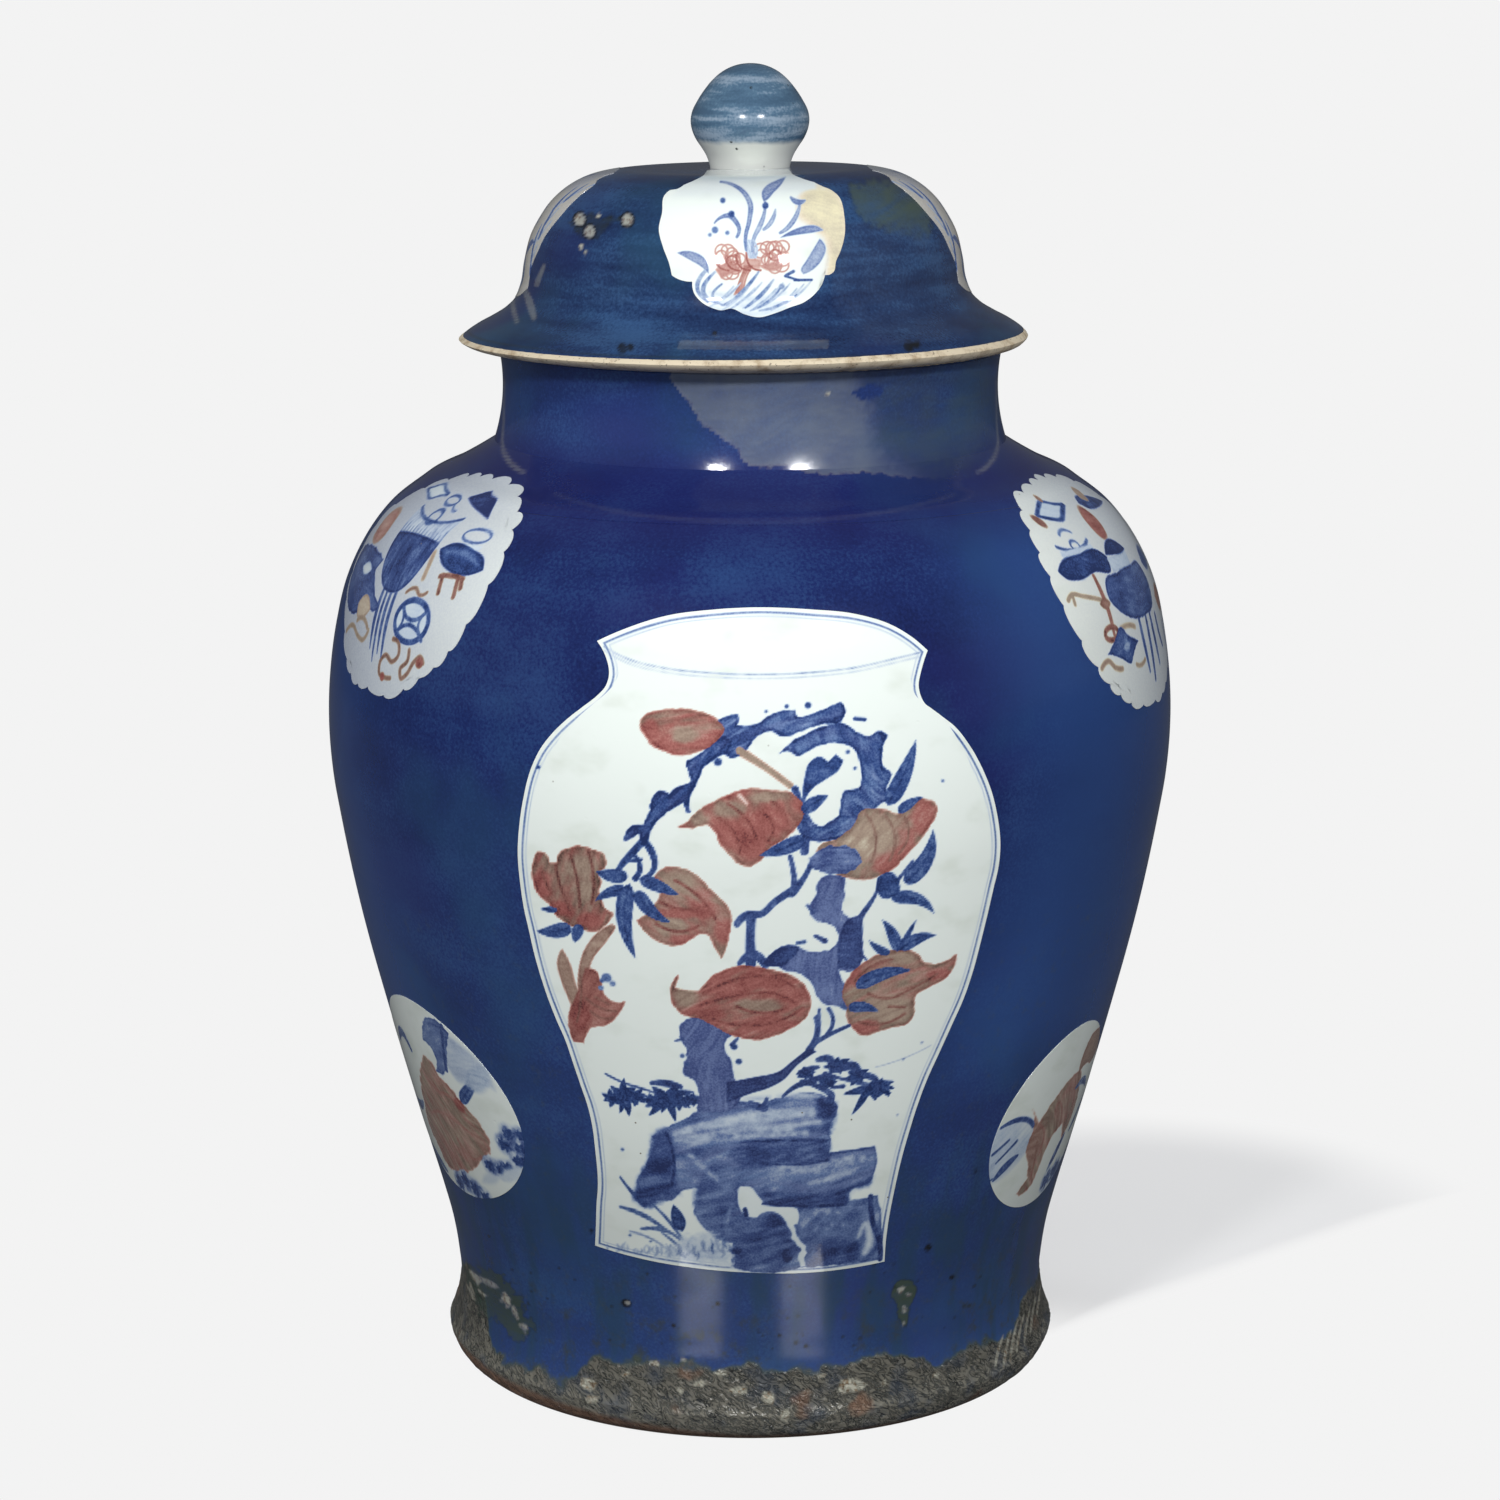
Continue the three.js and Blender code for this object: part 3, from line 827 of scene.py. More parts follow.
def leaf(sheet, base, tip, wide, bend, tone, vein=0.16, seed=3, full=0.55):
    # One leaf in a single loaded stroke: pointed, darker at its rim, midrib and root
    base, tip = np.array(base, float), np.array(tip, float)
    run = tip - base
    side = np.array([-run[1], run[0]]) / np.linalg.norm(run)
    shares = np.linspace(0, 1, 9)
    spine = [base + run * s + side * bend * 4 * s * (1 - s) for s in shares]
    swell = [0.12 + wide * math.sin(math.pi * s ** full) ** 0.8 for s in shares]
    marks = [(p[0], p[1], w) for p, w in zip(spine, swell)]
    stroke(sheet, marks, tone, seed=seed, rim=0.16, darker=False)
    stroke(sheet, [(p[0], p[1], 0.7) for p in spine[:7]], tone + vein, seed=seed)


def dot(sheet, x, z, r, tone=0.9, pigment="cobalt", tint=0.0):
    stroke(sheet, [(x - 0.05, z, 2 * r), (x + 0.05, z, 2 * r)], tone, pigment=pigment, tint=tint, soft=0.5)


def strokes(sheet, lines, *tone, **how):
    for marks in lines:
        stroke(sheet, marks, *tone, **how)


def dots(sheet, spots, *how):
    for x, z, r in spots:
        dot(sheet, x, z, r, *how)


def loop(sheet, x, z, across, up, wide, tone, pigment="cobalt", tint=0.0):
    marks = [(x + across * math.cos(a), z + up * math.sin(a)) for a in np.linspace(0, 2 * math.pi, 17)]
    stroke(sheet, marks, tone, wide, pigment, tint)


def tintPatch(sheet, x, z, across, up, copper=0.0, tint=None, seed=5):
    # Changes how much copper, and how olive, inside an oval with a ragged edge
    far = np.hypot((sheet["x"] - x) / across, (sheet["z"] - z) / up)
    where = np.nonzero(far < 1.4)[0]
    rag = 0.5 * (mottle(sheet["x"][where], sheet["z"][where], 3.5, seed) - 0.5)
    cover = ease(1.15, 0.55, far[where] + rag) * (sheet["copper"][where] > 0.1)
    sheet["copper"][where] += copper * cover
    if tint is not None:
        sheet["copperTint"][where] += (tint - sheet["copperTint"][where]) * cover


def paintedSideShade(sheet, near, far, tone, warm):
    # Painted shade: both pigments laid in a thin grey film that darkens a panel towards one side, where it
    # turns away from the light
    share = tone * ease(near, far, sheet["x"])
    for pigment, part in (("cobalt", 1.0), ("copper", warm)):
        sheet[pigment + "Tint"] = np.where(sheet[pigment] < share, 1, sheet[pigment + "Tint"])
        sheet[pigment] += part * share


# Painted panels: thin glazed reserves lying on the wall, each a closed slab with its own fine grid

slab = {   # mm above and below the wall, and the places of the first rows in from an edge
    "proud": 0.2,
    "sunk": 0.3,
    "edgeSteps": (0, 0.5, 1, 1.4, 1.8, 2.2, 2.6, 3, 3.4, 3.8, 4.3, 5),
}


def lineByLength(marks):
    marks = np.asarray(marks)
    run = np.concatenate([[0], np.cumsum(np.hypot(*np.diff(marks[:, :2], axis=0).T))])
    return run, marks


wallLine = lineByLength(smoothLine(sideMarks, 0.4, sharp=wallCorner))
domeMarks = [m for m in crownMarks if m[1] > 479] + [(0, crownMarks[-1][1])]
domeLine = lineByLength(smoothLine(domeMarks, 0.4, sharp=domeCorner))


def placeOn(line, x, along, centre, lift, axis, bend):
    # Points on a turned wall: x is measured square-on from the panel's middle, along is the way up the wall
    run, marks = line
    radius, height = (np.interp(along, run, marks[:, i]) for i in (0, 1))
    slope = [np.interp(along, run, np.gradient(marks[:, i], run)) for i in (0, 1)]
    azimuth = centre + np.arcsin(np.clip(x / radius, -1, 1))
    shiftOut, shiftUp = bend((azimuth + math.pi) % (2 * math.pi) - math.pi, radius, height)
    out, up = radius + lift * slope[1] + shiftOut, height - lift * slope[0] + shiftUp
    return np.stack([axis + out * np.sin(azimuth), -out * np.cos(azimuth), up], -1)


def alongWall(z):
    run, marks = wallLine
    return np.interp(z, marks[:, 1], run)


def alongDome(z):
    # Up the dome by height, and past its crown inwards by the same measure
    run, marks = domeLine
    crown = marks[:, 1].max()
    level = crown - 0.02
    edge = int(np.argmax(marks[:, 1] > level))
    return np.where(z < level, np.interp(z, marks[:edge + 1, 1], run[:edge + 1]), run[edge] + z - crown)


def spread(marks, shares):
    line = smoothLine(marks, 0.4, sharp=60)
    run, line = lineByLength(line)
    return np.stack([np.interp(shares * run[-1], run, line[:, i]) for i in (0, 1)], -1)


def panelGrid(sides, wide, tall, step, fineEdge):
    # A grid that fills the outline: bottom and top run left to right, left and right run upwards
    def shares(length):
        if not fineEdge:
            return np.linspace(0, 1, round(length / step) + 1)
        near = np.array(slab["edgeSteps"]) / length
        middle = np.linspace(near[-1], 1 - near[-1], round(length * (1 - 2 * near[-1]) / step) + 1)
        return np.concatenate([near[:-1], middle, 1 - near[-2::-1]])
    u, v = shares(wide), shares(tall)
    bottom, right, top, left = (spread(s, share) for s, share in zip(sides, (u, v, u, v)))
    uu, vv = u[None, :, None], v[:, None, None]
    flat = (1 - vv) * bottom[None] + vv * top[None] + (1 - uu) * left[:, None] + uu * right[:, None]
    corner = ((1 - uu) * (1 - vv) * bottom[0] + uu * (1 - vv) * bottom[-1]
              + (1 - uu) * vv * top[0] + uu * vv * top[-1])
    return flat - corner


def slabFaces(rows, cols, coarse=12):
    # Faces of a closed slab: a fine top, a side strip, and a back of large cells that meets the strip
    top = np.arange(rows * cols).reshape(rows, cols)
    quads = np.stack([top[:-1, :-1], top[:-1, 1:], top[1:, 1:], top[1:, :-1]], -1).reshape(-1, 4).tolist()
    ring = [*top[0, :-1], *top[:-1, -1], *top[-1, :0:-1], *top[:0:-1, 0]]
    marksOn = [sorted({*range(0, n - 1, coarse), n - 1}) for n in (rows, cols)]
    back = {int(c): rows * cols + k for k, c in enumerate(dict.fromkeys(
        [int(c) for c in ring] + [int(top[i, j]) for i in marksOn[0] for j in marksOn[1]]))}
    quads += [[int(b), int(a), back[int(a)], back[int(b)]] for a, b in zip(ring, ring[1:] + ring[:1])]

    def walk(i0, j0, i1, j1):
        onEdge = (i0 == i1 and i0 in (0, rows - 1)) or (j0 == j1 and j0 in (0, cols - 1))
        n = max(abs(i1 - i0), abs(j1 - j0)) if onEdge else 1
        return [back[int(top[i0 + (i1 - i0) * k // n, j0 + (j1 - j0) * k // n])] for k in range(n)]
    for a, b in zip(marksOn[0], marksOn[0][1:]):
        for c, d in zip(marksOn[1], marksOn[1][1:]):
            quads.append(walk(a, c, b, c) + walk(b, c, b, d) + walk(b, d, a, d) + walk(a, d, a, c))
    return quads, np.array(list(back))


reserveWhite = "#d6ddd8"
panelGlaze = {
    # from none of a pigment to the most, in its two tints
    "cobalt": ((0, reserveWhite), (0.22, "#aebccb"), (0.5, "#6077a0"), (0.75, "#33497c"), (1, "#1d2c56")),
    "violet": ((0, reserveWhite), (0.22, "#aab5c4"), (0.5, "#65719a"), (0.75, "#434e7b"), (1, "#2a305a")),
    "copper": ((0, reserveWhite), (0.14, "#c1a69e"), (0.32, "#b18a82"), (0.6, "#965f59"), (0.85, "#7c4542"),
               (1, "#5a3233")),
    "olive": ((0, reserveWhite), (0.08, "#d5ceae"), (0.18, "#b8b09c"), (0.32, "#9a8b7a"), (0.6, "#7d6c60"),
              (0.85, "#5f5047"), (1, "#3d342f")),
    "smudge": "#b3bcae",
    "paintedLightGain": 0.8,          # painted shade: how much greyer the white is made at the foot of the panels, where the wall turns away from the light
    "paintedLightHeights": (70, 190),   # mm up, between which that fades
    "speck": "#6f6a5c",
    "peel": 3.2,
    "pit": 14,
    "roughness": 0.08,
}


def reserveGlaze():
    # White porcelain painted under the glaze in cobalt and copper red: the pigment sinks in with soft edges,
    # and the clear glaze over it is glassy and bluish, with a few iron specks
    look = panelGlaze
    m = emptyMaterial("paintedReserveGlaze")
    cobalt, copper, cobaltTint, copperTint = paintParts(m)
    fibre = levels(m, noise(m, 0.9, 3.0), 0.3, 0.7, (0.86, 1.1))
    both = total(m, (1.0, cobalt), (1.0, copper))
    copperShare = addNode(m, "Math", {0: copper, 1: total(m, (1.0, both), (1.0, 0.001))}, operation="DIVIDE")
    laid = product(m, both, fibre)
    blue, red = (blend(m, tint, *(addNode(m, "ValToRGB", {"Fac": laid}, look[key]) for key in keys))
                 for tint, keys in ((cobaltTint, ("cobalt", "violet")), (copperTint, ("copper", "olive"))))
    shade = blend(m, levels(m, copperShare, 0.2, 0.8), blue, red)
    smudges = levels(m, noise(m, 16, 3.0, (0.6, 0.6, 1)), 0.52, 0.78, (0.0, 0.35))
    smudged = blend(m, smudges, shade, look["smudge"])
    shade = blend(m, levels(m, laid, 0.16, 0.03), shade, smudged)
    specks = addNode(m, "TexVoronoi", {"Vector": objectPlace(m, 15), "Scale": 1.0})
    speck = levels(m, specks.outputs["Distance"], 0.035, 0.02)
    speck = product(m, speck, levels(m, noise(m, 20, 1.0), 0.48, 0.55))
    shade = blend(m, speck, shade, look["speck"])
    # Painted shade: the panels are made darker towards their foot
    gain = levelsMm(m, heightUp(m), look["paintedLightHeights"], (look["paintedLightGain"], 1.0))
    shade = addNode(m, "VectorMath", {0: shade, "Scale": gain}, operation="SCALE")
    return finished(m, shade, look["roughness"], glazeBump(m, look))


paintedGlaze = reserveGlaze()


def panel(name, sides, size, step, centre, paint, body="jar", mirrored=False, fineEdge=False):
    # One painted panel, laid on the wall round its own middle direction, in degrees with 0 in front
    flat = panelGrid(sides, *size, step, fineEdge)
    rows, cols = flat.shape[:2]
    x, z = flat[..., 0].reshape(-1), flat[..., 1].reshape(-1)
    sheet = newSheet(x, z, rows=rows, cols=cols)
    paint(sheet)
    faces, back = slabFaces(rows, cols)
    if mirrored:
        x = -x
        faces = [face[::-1] for face in faces]
    onJar = body == "jar"
    line, along = (wallLine, alongWall(z)) if onJar else (domeLine, alongDome(z))
    axis, bend = (0, wallBend) if onJar else (coverAxis, coverBend)
    turn = math.radians(centre)
    top = placeOn(line, x, along, turn, slab["proud"], axis, bend)
    under = placeOn(line, x, along, turn, -slab["sunk"], axis, bend)[back]
    piece = meshPiece(name, np.concatenate([top, under]), faces, body, (),
                      paintedGlaze, 60)
    keepPaint(piece, sheet, back)
    print(name, "laid,", rows, "by", cols)


# The turned skins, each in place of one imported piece

def sideRadius(height):
    return np.interp(height, jarSide[:, 1], jarSide[:, 0])


def insideAt(azimuth, radius, height):
    return ease(2, 4, sideRadius(height) - radius)


def jarBare(azimuth, radius, height):
    # Bare clay under the foot ring and on the flat rim
    return np.maximum(ease(1.6, 0.4, height), ease(-1.4, -0.4, height - rimHeight))


lip = {"top": 480.3, "edge": 0.5, "from": 70}   # mm up, the blur of its upper edge, and mm out from the axis


def coverBare(azimuth, radius, height):
    # Bare clay on the seat and round the lip of the brim
    return ease(lip["top"] + lip["edge"], lip["top"] - lip["edge"], height) * (radius > lip["from"])


def sectionProfile(name, step=6):
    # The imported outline, with its outside taken from the one smooth line of the whole jar
    path = outlines[name]
    side = risingSide(path)
    first, last = path.index(side[0]), path.index(side[-1])
    closed = path[0][0] > 0.01
    fine = [m for m in jarSide if side[0][1] - 0.01 <= m[1] <= side[-1][1] + 0.01]
    inner = smoothLine(path[last:] + ([path[0]] if closed else []), step, sharp=wallCorner)
    return np.array([*path[:first], *fine, *inner[1:len(inner) - 1 if closed else None]])


def crawlMeasure(azimuth, radius, height):
    return crawlAt(azimuth, height) * (1 - insideAt(azimuth, radius, height))


def aroundMeasure(azimuth, radius, height):
    return azimuth * unevenness["girth"]


def ridgeMeasure(azimuth, radius, height):
    return wrinkleAt(azimuth, height)


def chip(sheet, x, z, wide, tall, tone=0.9, tint=0.0, pigment="copper", seed=1):
    # A flake broken from the glaze, with an angular outline
    count = 6
    shifts = np.array([latticeValue(k, seed, 17) for k in range(count)])
    turns = (np.arange(count) + 0.7 * shifts) * 2 * math.pi / count
    reach = [0.35 + 0.65 * latticeValue(k, seed, 23) for k in range(count)]
    marks = [(x + r * wide / 2 * math.cos(a), z + r * tall / 2 * math.sin(a)) for a, r in zip(turns, reach)]
    wash(sheet, marks, tone, pigment, tint, rim=0, blot=0.35, sharp=20, soft=0.6, seed=seed, ragged=0.8)


def wearFoot(sheet):
    flakes = ((-5.3, 24.8, 14, 4.4), (-12.8, 32, 9, 3.4), (45.1, 23.6, 15, 9), (-71.2, 20.5, 13, 7),
        (8.3, 21.9, 9, 7), (16.4, 13.1, 7, 11), (-42.1, 34.4, 7, 4), (-29.3, 37.3, 5, 3),
        (-30.9, 23.6, 5, 4), (-22.4, 27.1, 6, 4), (32, 30, 5, 3), (-55, 28, 5, 4), (60, 24, 4, 3),
        (-71, 15, 9, 6), (84, 22, 5, 3))
    for seed, (x, z, wide, tall) in enumerate(flakes):
        chip(sheet, x, z, wide, tall, 0.9, seed=seed + 3)
    wash(sheet, [(63, 66), (66, 71), (71.5, 70.5), (74, 65), (71.8, 57), (69.6, 47.5), (67.4, 50),
        (65.4, 58)], 0.9, tint=0.8, blot=0.5, ragged=1.5, seed=21)
    for seed, (x, z, wide, tall) in enumerate(((67, 66, 4, 4), (70.6, 63, 3, 4), (68.8, 56, 3, 6),
            (68.6, 49, 2, 3))):
        chip(sheet, x, z, wide, tall, 0.7, seed=seed + 31)
    wash(sheet, [(-134, 46), (-124, 55), (-113, 58), (-105, 50), (-98, 38), (-104, 30), (-114, 33),
        (-126, 33)], 0.8, tint=0.75, blot=0.5, ragged=9, soft=1.5, seed=41, rim=0)
    for seed, (x, z, wide, tall) in enumerate(((-127, 47, 7, 5), (-120, 50, 9, 4), (-112, 46, 6, 8),
            (-107, 42, 4, 5), (-123, 42, 5, 3), (-130, 38, 4, 6), (-103, 36, 3, 4))):
        wash(sheet, [(x - wide / 2, z), (x, z + tall / 2), (x + wide / 2, z + 1), (x + 1, z - tall / 2)],
            0.7, "copper", 0.1, blot=0.8, ragged=3, soft=0.8, seed=seed + 91, rim=0)
    for x, z, long in ((112, 17, 10), (116, 15, 12), (119.5, 16, 13), (123, 18, 12), (127, 19, 12),
            (130.5, 21, 11), (134, 23, 8)):
        stroke(sheet, [(x, z, 0.9), (x + 1.4, z + long / 2, 1.5), (x + 4, z + long, 0.6)], 0.7,
            pigment="copper", tint=0.1)
    dots(sheet, ((79, 85.3, 1.7), (90.5, 66.7, 1.2), (-14.2, 65.6, 1.1), (24.8, 44.2, 1.1), (20.3, 46.1, 1),
        (-33.8, 53.4, 1), (-54.9, 61.7, 2.2), (13, 50, 0.8), (-70, 96, 0.9), (100, 120, 0.8)), 0.95)
    dot(sheet, -54.3, 62, 1, 0.6, "copper")
    for k in range(60):
        x, z = (latticeValue(k, 7, 51) - 0.5) * 260, 42 + 60 * latticeValue(k, 9, 52) ** 2
        dot(sheet, x, z, 0.35 + 0.5 * latticeValue(k, 3, 53), 0.8, tint=0.4)


def neckWearAndReflections(sheet):
    # An old retouched patch, greyer than the glaze and greenish at the right, and pale lines down both sides
    # that are painted reflections
    edge = [(-33.8, 474), (-33.4, 470.6), (-26.1, 461.3), (-21, 452.9), (-12.4, 446.3), (-5.6, 441.3),
        (-2.1, 436.3), (15, 433.6), (30.9, 430.5), (48.2, 430.5), (65.6, 428), (83.3, 426), (101.8, 426),
        (109, 432), (109.6, 474)]
    wash(sheet, edge, 0.55, "copper", 1.0, rim=0, blot=0.4, ragged=1.6, soft=0.5, seed=61)
    wash(sheet, [(46, 474), (52, 456), (56, 440), (70, 430), (98, 428), (108, 440), (108, 474)], 0.3,
        tint=1.0, rim=0, blot=0.8, soft=7, ragged=6, seed=62)
    fading = np.where(sheet["x"] > 44, 1 - 0.97 * ease(40, 92, sheet["x"]), 1)
    sheet["copper"] = sheet["copper"] * fading
    stroke(sheet, [(-84, 420.6, 0.8), (-60, 417.2, 0.9), (-30, 415, 1), (0, 414.4, 1), (30, 414.8, 1),
        (60, 416.8, 0.9), (88, 420, 0.8)], 0.06, pigment="copper", tint=1.0)
    wash(sheet, [(44, 464), (50, 467), (58, 465), (54, 461), (47, 461)], 0.0, "copper", 1.0, rim=0, ragged=2)
    dot(sheet, 33.4, 464.1, 0.8, 0.9, "copper")
    # Pale lines down both sides of the neck: painted reflections
    for side in (-1, 1):
        stroke(sheet, [(side * 99, 426, 0.8), (side * 106, 428.2, 1.3), (side * 110, 431, 1.2),
            (side * 110.8, 442, 1.1), (side * 110.6, 460, 0.8)], 0.36, pigment="copper", tint=0.65, soft=0.7)


def coverWearAndReflection(sheet):
    wash(sheet, [(-76, 532), (-72, 537), (-62, 536), (-48, 538), (-46, 533.5), (-58, 533), (-64, 527),
        (-72, 528)], 0.7, tint=0.2, blot=0.8, ragged=3, soft=0.8, seed=71)
    for x, z in ((-71.5, 534.2), (-66.9, 529.6), (-50.1, 535.4)):
        loop(sheet, x, z, 2.7, 2.7, 1.4, 0.95)
        dot(sheet, x, z, 2.3, 0.85, "copper", 0.25)
    dots(sheet, ((-70.6, 523.2, 0.9), (-63, 536.4, 0.8), (-68.6, 520.8, 0.6)), 0.9, "copper")
    dots(sheet, ((-51.5, 483.5, 2), (-48, 484, 1.4), (71.2, 483.6, 2.2), (74.6, 484.2, 1.5),
        (70.8, 535.1, 1.6), (-12, 490, 0.9)), 0.9)
    # A pale band along the front of the brim: painted reflection
    wash(sheet, [(-27, 484.4), (-27, 487), (36, 487), (36, 484.2)], 0.22, "copper", 1.0, rim=0, blot=0.5,
        ragged=1, seed=72)
    strokes(sheet, ([(-99, 503, 1), (-95, 497, 3), (-92, 491.5, 1.6)], [(-88, 513, 1), (-91.5, 505, 2)],
        [(-104, 494, 2), (-100, 489, 1)]), 0.55, pigment="copper", tint=0.8, soft=0.8)
    wash(sheet, [(46, 549), (62, 550), (76, 546), (84, 535), (79, 525), (62, 530), (50, 537)], 0.62,
        tint=1.0, rim=0, blot=0.9, ragged=5, soft=2, seed=73)
    wash(sheet, [(44, 532), (70, 530), (92, 510), (104, 492), (80, 486), (50, 492), (40, 510)], 0.05,
        "copper", 1.0, rim=0, blot=0.7, soft=8, ragged=8, seed=74)
    stroke(sheet, [(-127.5, 480.9), (-60, 480.9), (0, 480.8), (60, 480.9), (127.5, 480.9)], 0.5, 0.8,
        tint=0.3)


hidden = 1e6   # mm across, where no brush reaches


def brushWearAndReflections(piece, axis, outer, paint):
    # Brushes the old damage, and the painted reflections, on the front of a turned skin
    count = len(piece.data.vertices)
    at = np.empty(count * 3, np.float32)
    piece.data.vertices.foreach_get("co", at)
    at = at.reshape(-1, 3) / mm
    shown = (at[:, 1] < 0) & (np.asarray(outer) < 0.5)
    sheet = newSheet(np.where(shown, at[:, 0] - axis, hidden), at[:, 2].astype(float))
    paint(sheet)
    keepPaint(piece, sheet)


jarSkins = {
    "footSkin": ("foot_section", 960, footBend, "blistered_foot_glaze", footGlaze, wearFoot),
    "lowerBodySkin": ("lower_body", 960, footBend, "powder_blue_glaze", footGlaze, wearFoot),
    "upperBodySkin": ("upper_body", 320, wallBend, "powder_blue_glaze", bodyGlaze, None),
    "neckSkin": ("neck", 640, wallBend, "powder_blue_glaze", bodyGlaze, neckWearAndReflections),
}
for name, (node, around, bend, slot, glaze, paint) in jarSkins.items():
    measures = {"inside": insideAt, "bare": jarBare}
    if bend is footBend:
        measures.update(crawl=crawlMeasure, ridge=ridgeMeasure, around=aroundMeasure)
    corners, faces, taken = turned(sectionProfile(node), around, 0, bend, measures)
    piece = meshPiece(name, corners, faces, "jar", [node], glaze)
    addMeasures(piece, taken)
    if paint:
        brushWearAndReflections(piece, 0, taken["inside"], paint)

domeProfile = smoothLine(outlines["cover_dome"], 1.3, closed=True, sharp=domeCorner)
domeOuter = np.array(crownMarks)


def underDome(azimuth, radius, height):
    # 1 on the inside of the cover, where the glaze is left white
    outer = np.interp(height, domeOuter[:, 1], domeOuter[:, 0])
    return ease(2, 4, outer - radius) * (height < domeOuter[-1, 1] - 2)


corners, faces, taken = turned(domeProfile, 720, coverAxis, coverBend, {"inside": underDome,
    "bare": coverBare})
dome = meshPiece("domeSkin", corners, faces, "cover", ["cover_dome"], coverGlaze)
addMeasures(dome, taken)
brushWearAndReflections(dome, coverAxis, taken["inside"], coverWearAndReflection)
corners, faces, taken = turned(smoothLine(outlines["cover_flange"], 3, closed=True, sharp=wallCorner), 192,
    coverAxis)
meshPiece("flangeSkin", corners, faces, "cover", ["cover_flange"], bareClayMaterial)
corners, faces, taken = turned(smoothLine(outlines["finial"], 1, sharp=60), 160, finialAxis, coverBend)
meshPiece("finialSkin", corners, faces, "cover", ["finial"], paleGlaze)
print("turned skins made")


# The vase-shaped panel: a fruiting branch growing from a pierced rock

vaseTop = [(-68, 368), (-55, 374), (-40, 379), (-20, 382), (0, 383), (20, 382), (40, 379.5), (55, 374.5),
    (70, 363.5)]
vaseRight = [(56, 82.5), (56.5, 95), (57.5, 105), (59.5, 118), (62, 132), (65.5, 147), (69, 160), (73, 172),
    (78, 184), (83, 196), (88, 208), (92, 221), (95, 234), (98, 248), (100, 258), (102, 268), (102.5, 278),
    (101, 290), (98, 302), (94, 312), (88, 323), (82, 331), (75, 337), (68, 343), (66, 350), (67, 355),
    (70, 363.5)]
vaseLeft = [(-71.5, 89), (-71, 100), (-70.5, 112), (-70, 118), (-71, 140), (-72, 150), (-74, 160),
    (-77, 170), (-80, 180), (-83, 190), (-87, 200), (-90.5, 210), (-93.5, 220), (-96, 230), (-98, 240),
    (-100, 250), (-101.5, 262), (-102.3, 275), (-101.5, 287), (-99.5, 300), (-96.5, 312), (-92, 322),
    (-86, 330), (-80, 336), (-74, 341), (-68, 346), (-64.5, 350), (-63, 355), (-64, 361), (-68, 368)]
vaseBottom = [(-71.5, 89), (-50, 85.5), (-25, 83), (0, 81.5), (17, 80.8), (43, 81.5), (56, 82.5)]
vaseSides = (vaseBottom, vaseRight, vaseTop, vaseLeft)


def contour(sheet, outline, inset, wide, tone, tint=0.2, reach=14):
    # The thin line that runs round a panel just inside its edge
    index = np.arange(len(sheet["x"])).reshape(sheet["rows"], sheet["cols"])
    near = np.zeros_like(index, bool)
    near[:reach], near[-reach:], near[:, :reach], near[:, -reach:] = True, True, True, True
    where = index[near]
    depth = depthIn(sheet, where, smoothLine(outline, 2, closed=True, sharp=60), True)
    x, z = sheet["x"][where], sheet["z"][where]
    uneven = 0.75 + 0.5 * mottle(x, z, 14, 41)
    cover = ease(wide / 2 + 0.25, wide / 2 - 0.25,
        np.abs(depth - inset - 0.5 * (mottle(x, z, 30, 42) - 0.5)))
    lay(sheet, where, "cobalt", cover, tone * uneven, tint, True)


def fruit(sheet, marks, tone=0.66, tint=0.3, angle=0, reds=(), olives=(), seed=11, rim=0.2):
    # Finger citron in copper red, which fired from dull brown to clear red in patches
    wash(sheet, marks, tone * 0.92, "copper", tint, rim=rim * 0.9, blot=0.42, streak=(angle, 7), seed=seed,
        rimWide=1.6, bristle=0.65, mix=0.6, ragged=0.8)
    for x, z, across, up in reds:
        tintPatch(sheet, x, z, across, up, 0.08, 0.0, seed)
    for x, z, across, up in olives:
        tintPatch(sheet, x, z, across, up, -0.12, 0.9, seed + 1)


def copperLines(sheet, lines, tone=0.92, width=0.9, tint=0.1):
    strokes(sheet, lines, tone, width, "copper", tint, soft=0.5)


